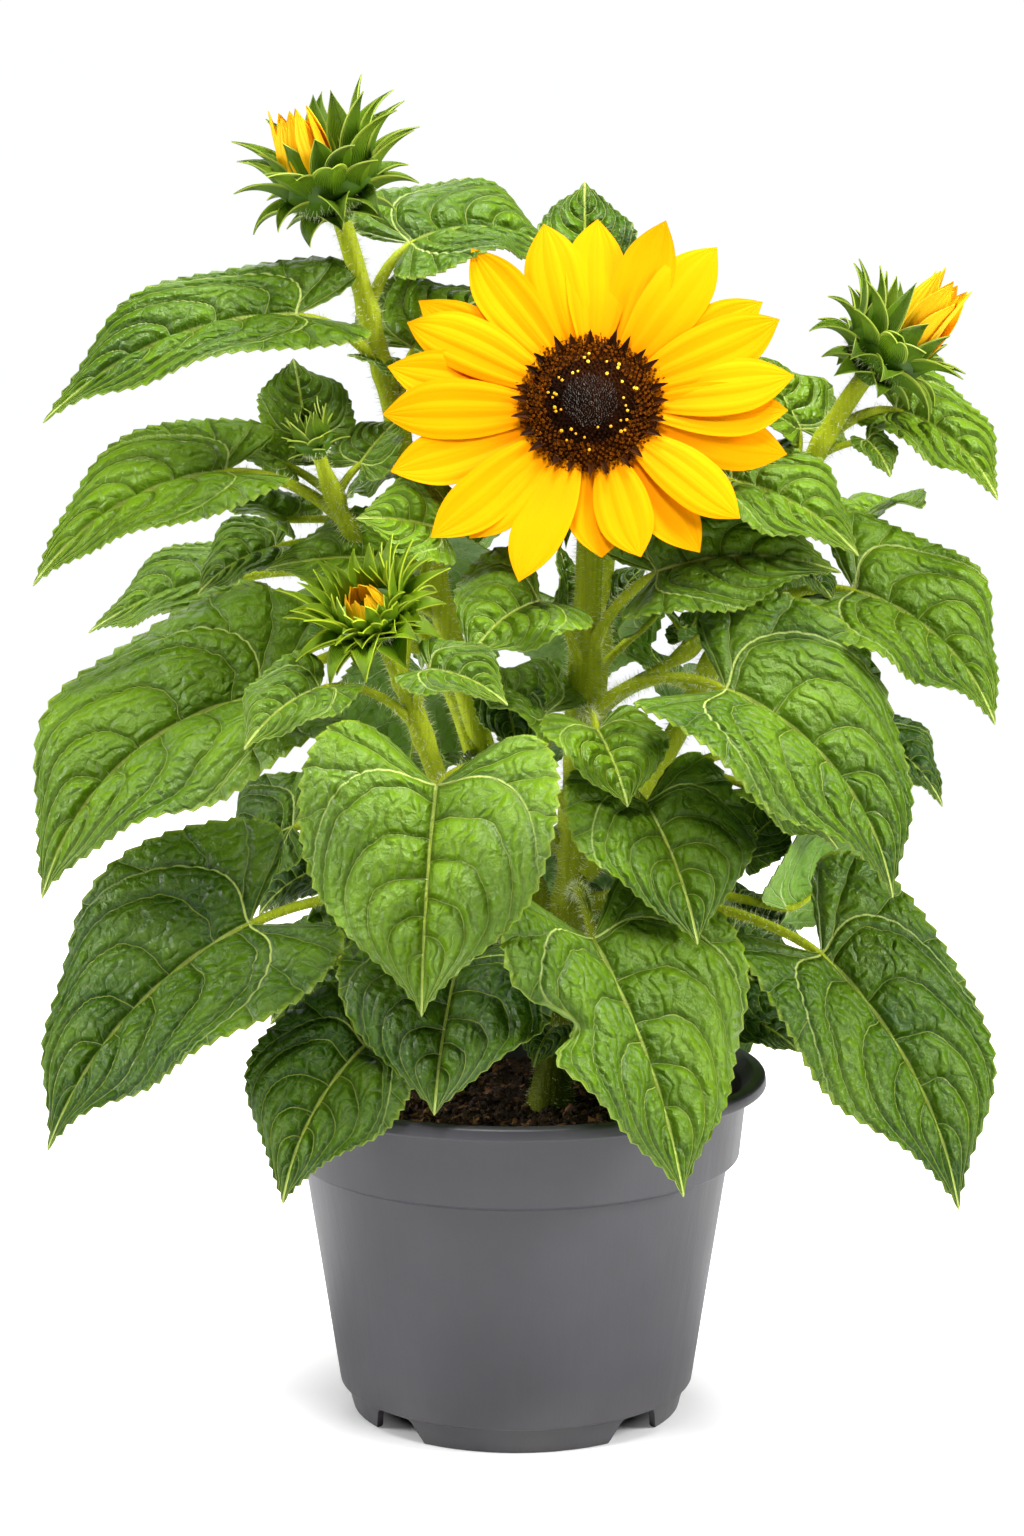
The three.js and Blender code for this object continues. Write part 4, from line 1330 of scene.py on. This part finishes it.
# The open head: its rays as direction, anticlockwise from the right as seen from the front, and reach.
rayLook = {
    "rays": [
        (8, 74), (25, 75), (32, 74), (52, 75), (68, 74), (88, 72), (106, 72), (127, 74), (147, 75), (154, 75),
        (169, 75), (184, 75), (201, 76), (223, 76), (229, 66), (251, 72), (274, 57), (288, 61), (305, 68),
        (322, 70), (346, 73), (358, 71),
    ],
    "foot": 23, "forward": 14.5, "layer": 1.5, "halfWidth": 10.7, "widest": 0.5, "rows": 34, "columns": 18,
    "thickness": 0.4, "crease": 0.025, "hollow": 0.16, "drift": 0.03, "seed": 41,
}


def rayOut(s):
    widest = rayLook["widest"]
    rising = 0.5 + 0.5 * np.sin(np.pi / 2 * np.minimum(s / widest, 1))
    falling = np.cos(np.pi / 2 * (np.clip(s - widest, 0, 1) / (1 - widest)) ** 1.45)
    return rising * np.maximum(falling, 0.012)


def makeRays():
    look = rayLook
    rng = np.random.default_rng(look["seed"])
    head = headPlace("main_stem")
    heap = Heap("ray")
    rows = np.linspace(0, 1, look["rows"] + 1)
    side = np.linspace(-1, 1, look["columns"] + 1)[None, :]
    s = rows[:, None]
    for index, (direction, reach) in enumerate(look["rays"]):
        length = reach - look["foot"] + 1
        start = towards(direction, 0.0) * look["foot"] + (0, 0, look["forward"] + index % 2 * look["layer"])
        spine = midrib(start, direction, rng.uniform(4, 12), rng.uniform(-16, 4), length,
                       rng.uniform(-9, 9), length * rows)
        half = look["halfWidth"] * rng.uniform(0.92, 1.08) * rayOut(s)
        crease = look["crease"] * half * np.cos(2 * np.pi * (1.5 * side + rng.uniform(-0.1, 0.1)))
        hollow = look["hollow"] * half * (1 - side ** 2) * rng.uniform(-0.6, 1)
        lift = crease * np.clip(1.4 - s, 0, 1) - hollow
        drift = length * look["drift"] * np.sin(3 * s + rng.uniform(0, 6)) * s
        addStrip(heap, head, spine, (half, drift, lift), side, s, look["thickness"], "ray", rng.uniform(0, 1))
    return heap.make("flowerRays")


# ---- disc of the open head

goldenAngle = math.pi * (3 - math.sqrt(5))
disc = {
    "radius": 26.5, "forward": 15.2, "dome": 5, "sides": 48, "rings": 14, "sway": 0.22, "seed": 57,
    # the chaff stands this far in from the edge and up from it
    "chaff": 24, "chaffIn": 5.5, "chaffUp": 1.2, "chaffPitch": (32, 8),
    "chaffLook": {"rows": 6, "columns": 2, "thickness": 0.3, "drift": 0.02, "cup": 0.4},
    # band: its finish, how many sides its shape has, and that shape from the foot up as
    # (height, radius, radius of every second side)
    "shapes": {
        "outer": ("floret", 10, [(0, 0.3, 0.3), (1.3, 0.42, 0.42), (2.1, 0.98, 0.4), (1.95, 0.75, 0.25),
                                 (1.4, 0.12, 0.12)]),
        "spikes": ("disc", 4, [(0, 0.2, 0.2), (2.4, 0.17, 0.17), (2.9, 0.3, 0.16), (3.5, 0.05, 0.05)]),
        "dark": ("disc", 6, [(0, 0.35, 0.35), (0.9, 0.6, 0.6), (1.6, 0.5, 0.5), (2.0, 0.12, 0.12)]),
        "pollen": ("pollen", 6, [(1.9, 0.18, 0.18), (2.2, 0.5, 0.42), (2.7, 0.5, 0.55), (3.0, 0.15, 0.15)]),
        "centre": ("fuzz", 3, [(0.3, 0.13, 0.13), (1.2, 0.12, 0.12), (2.3, 0.02, 0.02)]),
        "core": ("disc", 6, [(0, 0.3, 0.3), (0.7, 0.5, 0.5), (1.2, 0.36, 0.36), (1.6, 0.06, 0.06)]),
    },
    # band: its first floret and how many, and so on; kept is the share that is kept
    "copyNames": ("first", "count", "spacing", "smallest", "largest", "lean", "kept", "seed"),
    "copies": {
        "outer": (330, 600, 0.85, 0.65, 1.0, 0.028, 1.0, 51),
        "spikes": (380, 680, 0.85, 0.5, 0.85, 0.032, 0.25, 52),
        "dark": (150, 220, 0.85, 0.6, 1.0, 0.02, 1.0, 53),
        "pollen": (165, 260, 0.85, 0.85, 1.3, 0.02, 0.14, 54),
        "centre": (0, 430, 0.476, 0.8, 1.4, 0.012, 1.0, 55),
        "core": (0, 160, 0.85, 0.6, 0.85, 0.01, 1.0, 56),
    },
}


def phyllotaxisTree():
    # Copies in a spiral of golden angles over a dome, leaning outwards.
    tree, start, end = newGroup("phyllotaxis", "Geometry", [
        ("Base", "Geometry", None), ("First", "Int", 0), ("Count", "Int", 100), ("Spacing", "Float", 0.001),
        ("Radius", "Float", 0.03), ("Dome", "Float", 0.005), ("Kept", "Float", 1.0), *copyInputs],
        [("Mesh", "Geometry")])
    index = take(tree, "GeometryNodeInputIndex") + start["First"]
    reach = calc("SQRT", index) * start["Spacing"]
    turn = index * goldenAngle
    across, up = reach * calc("COSINE", turn), reach * calc("SINE", turn)
    level = (1.0 - calc("POWER", reach / start["Radius"], 2.0)) * start["Dome"]
    spot = combine(tree, across, up, level)
    points = take(tree, "GeometryNodePoints", Count=start["Count"], Position=spot)
    tilt = combine(tree, across * start["Lean"], up * start["Lean"], 1.0)
    stand = take(tree, "FunctionNodeAlignRotationToVector", 0, {"axis": "Z"}, Vector=tilt)
    kept = chance(start, "BOOLEAN", 3, Probability=start["Kept"])
    return standCopies(tree, start, end, disc["sway"], Points=points, Selection=kept, Rotation=stand)


def makeDisc():
    spot = tip, axes = headPlace("main_stem")
    heap = Heap("disc")
    share = np.linspace(1, 0.03, disc["rings"])
    radius = np.concatenate([[8, 20, disc["radius"] - 2], share * (disc["radius"] - 1)])
    level = np.concatenate([[-6, -6, -3], disc["dome"] * (1 - share ** 2)]) + disc["forward"]
    addRings(heap, tip + circles(radius, level, disc["sides"]) @ axes, "disc")
    rng = np.random.default_rng(disc["seed"])
    for index in range(disc["chaff"]):
        heading = (index + rng.uniform(-0.25, 0.25)) * 360 / disc["chaff"]
        start = towards(heading, 0.0) * (disc["radius"] - disc["chaffIn"])
        start = start + (0, 0, disc["forward"] + disc["chaffUp"])
        row = (heading, *disc["chaffPitch"], rng.uniform(7, 9.5), rng.uniform(3.4, 4.6))
        addScale(heap, spot, start, row, disc["chaffLook"], chaffOut, 0.3, rng, "disc")
    declare(heap.make("discBody"), "flower")
    tree = phyllotaxisTree()
    base = addObject("discBase", bpy.data.meshes.new("discBase"))
    matrix = Matrix(axes.T.tolist()).to_4x4()
    matrix.translation = Vector((tip + axes[2] * disc["forward"]) * mm)
    for band, (wear, sides, levels) in disc["shapes"].items():
        up, radius, other = np.transpose(levels)[..., None]
        shape = skinned(band, wear, circles(np.where(np.arange(sides) % 2, other, radius), up, sides))
        copies = dict(zip(disc["copyNames"], disc["copies"][band]))
        copies["spacing"] *= mm
        copies["lean"] /= mm
        piece = runTree(tree, base, f"disc{band.capitalize()}", shape=shape, material=finishes[wear],
                        radius=disc["radius"] * mm, dome=disc["dome"] * mm, **copies)
        piece.data.transform(matrix)
        declare(piece, "flower")
        drop(shape)
    drop(base)


def makeHeads():
    for name, head in heads.items():
        heap = addHead(name, head)
        if name == "flower_head":
            declare(heap.make("flowerBracts"), "bud")
        else:
            declare(heap.make(camel(name)), "bud", name)
    declare(makeRays(), "flower", "flower_head")
    makeDisc()


makeHeads()
print("flower and buds made")

# ---- small leaves too slight for the frame, joined as one piece

smallSeed = 61
smallLeaves = [
    ("left_branch", [(386, -60, 60, 40, 10), (-170, 35, 5, 20, 15, -20)]),
    ("right_branch", [(362, -9, 35, 5, 21), (-25, -35, -75, 17, 17, 30)]),
    ("small_branch", [(326, 30, 60, 50, 12), (60, 55, 35, 22, 20, 0)]),
    ("right_branch", [(352, 130, 40, 20, 20), (150, 5, -20, 34, 30, -15)]),
    ("right_branch", [(318, -40, 30, 10, 18), (-30, -20, -60, 24, 22, 10)]),
    ("low_right_shoot", [(180, 60, 20, 0, 30), (20, -10, -50, 34, 32, 20)]),
    ("main_stem", [(176, 165, 35, 0, 60), (-165, -20, -60, 44, 40, -30)]),
    ("main_stem", [(168, 60, 40, 10, 40), (50, -10, -50, 46, 42, 10)]),
    ("main_stem", [(152, -60, 50, 20, 26), (-70, -5, -60, 32, 30, 10)]),
    ("main_stem", [(140, -95, 45, 20, 20), (-110, 0, -50, 26, 22, -10)]),
    ("main_stem", [(146, -20, 30, 5, 34), (-25, -15, -60, 34, 32, 20)]),
    ("main_stem", [(158, 110, 40, 5, 44), (110, -25, -70, 48, 44, 0)]),
    ("main_stem", [(210, 150, 35, 0, 46), (160, -15, -55, 48, 42, -15)]),
    ("main_stem", [(222, 40, 35, 0, 40), (30, -15, -55, 46, 42, 20)]),
    ("main_stem", [(244, 100, 40, 0, 36), (110, -20, -60, 46, 42, 0)]),
    ("left_branch", [(262, -60, 40, 10, 26), (-80, -15, -60, 32, 26, 0)]),
    ("front_branch", [(236, 60, 40, 10, 26), (60, -10, -50, 34, 30, 0)]),
    ("front_branch", [(214, -60, 45, 15, 20), (-50, -10, -50, 28, 26, 10)]),
    ("left_branch", [(345, 137, 57, 27, 17), (157, -10, -50, 24, 28, -30)]),
    ("main_stem", [(250, 101, 78, 48, 58), (153, 101, 61, 28, 26, 0)]),
    ("main_stem", [(262, 62, 70, 40, 53), (18, 68, 28, 22, 18, 10)]),
    ("low_left_shoot", [(160, 172, 57, 27, 67), (170, -18, -58, 33, 34, -40)]),
    ("low_right_shoot", [(176, 26, 63, 33, 47), (22, 54, 14, 30, 36, 30)]),
    ("right_branch", [(240, 11, 24, -6, 92), (-5, -26, -66, 37, 30, 30)]),
]


def makeSmallLeaves():
    rng = np.random.default_rng(smallSeed)
    heap = Heap("stem", "leaf", "under")
    across = math.ceil(math.sqrt(len(smallLeaves)))
    for index, (limb, rows) in enumerate(smallLeaves):
        row, column = divmod(index, across)
        cells = [tuple(np.add((column, column, row, row), box) / across) for box in (*leafBoxes, stalkBox)]
        addLeaf(heap, limb, rows, rng, cells[:3], cells[3], tone=bladeLook["smallTone"])
    declare(heap.make("smallLeaves"), "leaf")


makeSmallLeaves()
print("small leaves made")

# ---- bristles on stems and stalks

bristle = {
    "length": 2.7, "radius": 0.1,
    "copies": {"density": 4.6e5, "smallest": 0.45, "largest": 1.25, "lean": 0.45, "seed": 71},
}


def makeBristles():
    base = hairy.make("hairBase")
    spike = Heap("hair")  # a point with three sides and a foot
    foot = circles([bristle["radius"]], [0], 3)[0]
    first = spike.put(np.concatenate([foot, [(0, 0, bristle["length"])]]))
    spike.cover(first, [(0, 2, 1), (0, 1, 3), (1, 2, 3), (2, 0, 3)], "hair")
    shape = spike.make("hair")
    piece = runTree(scatter, base, "stemHairs", shape=shape, material=finishes["hair"], **bristle["copies"])
    declare(piece, "stem")
    drop(shape, base)


makeBristles()
print("bristles made")
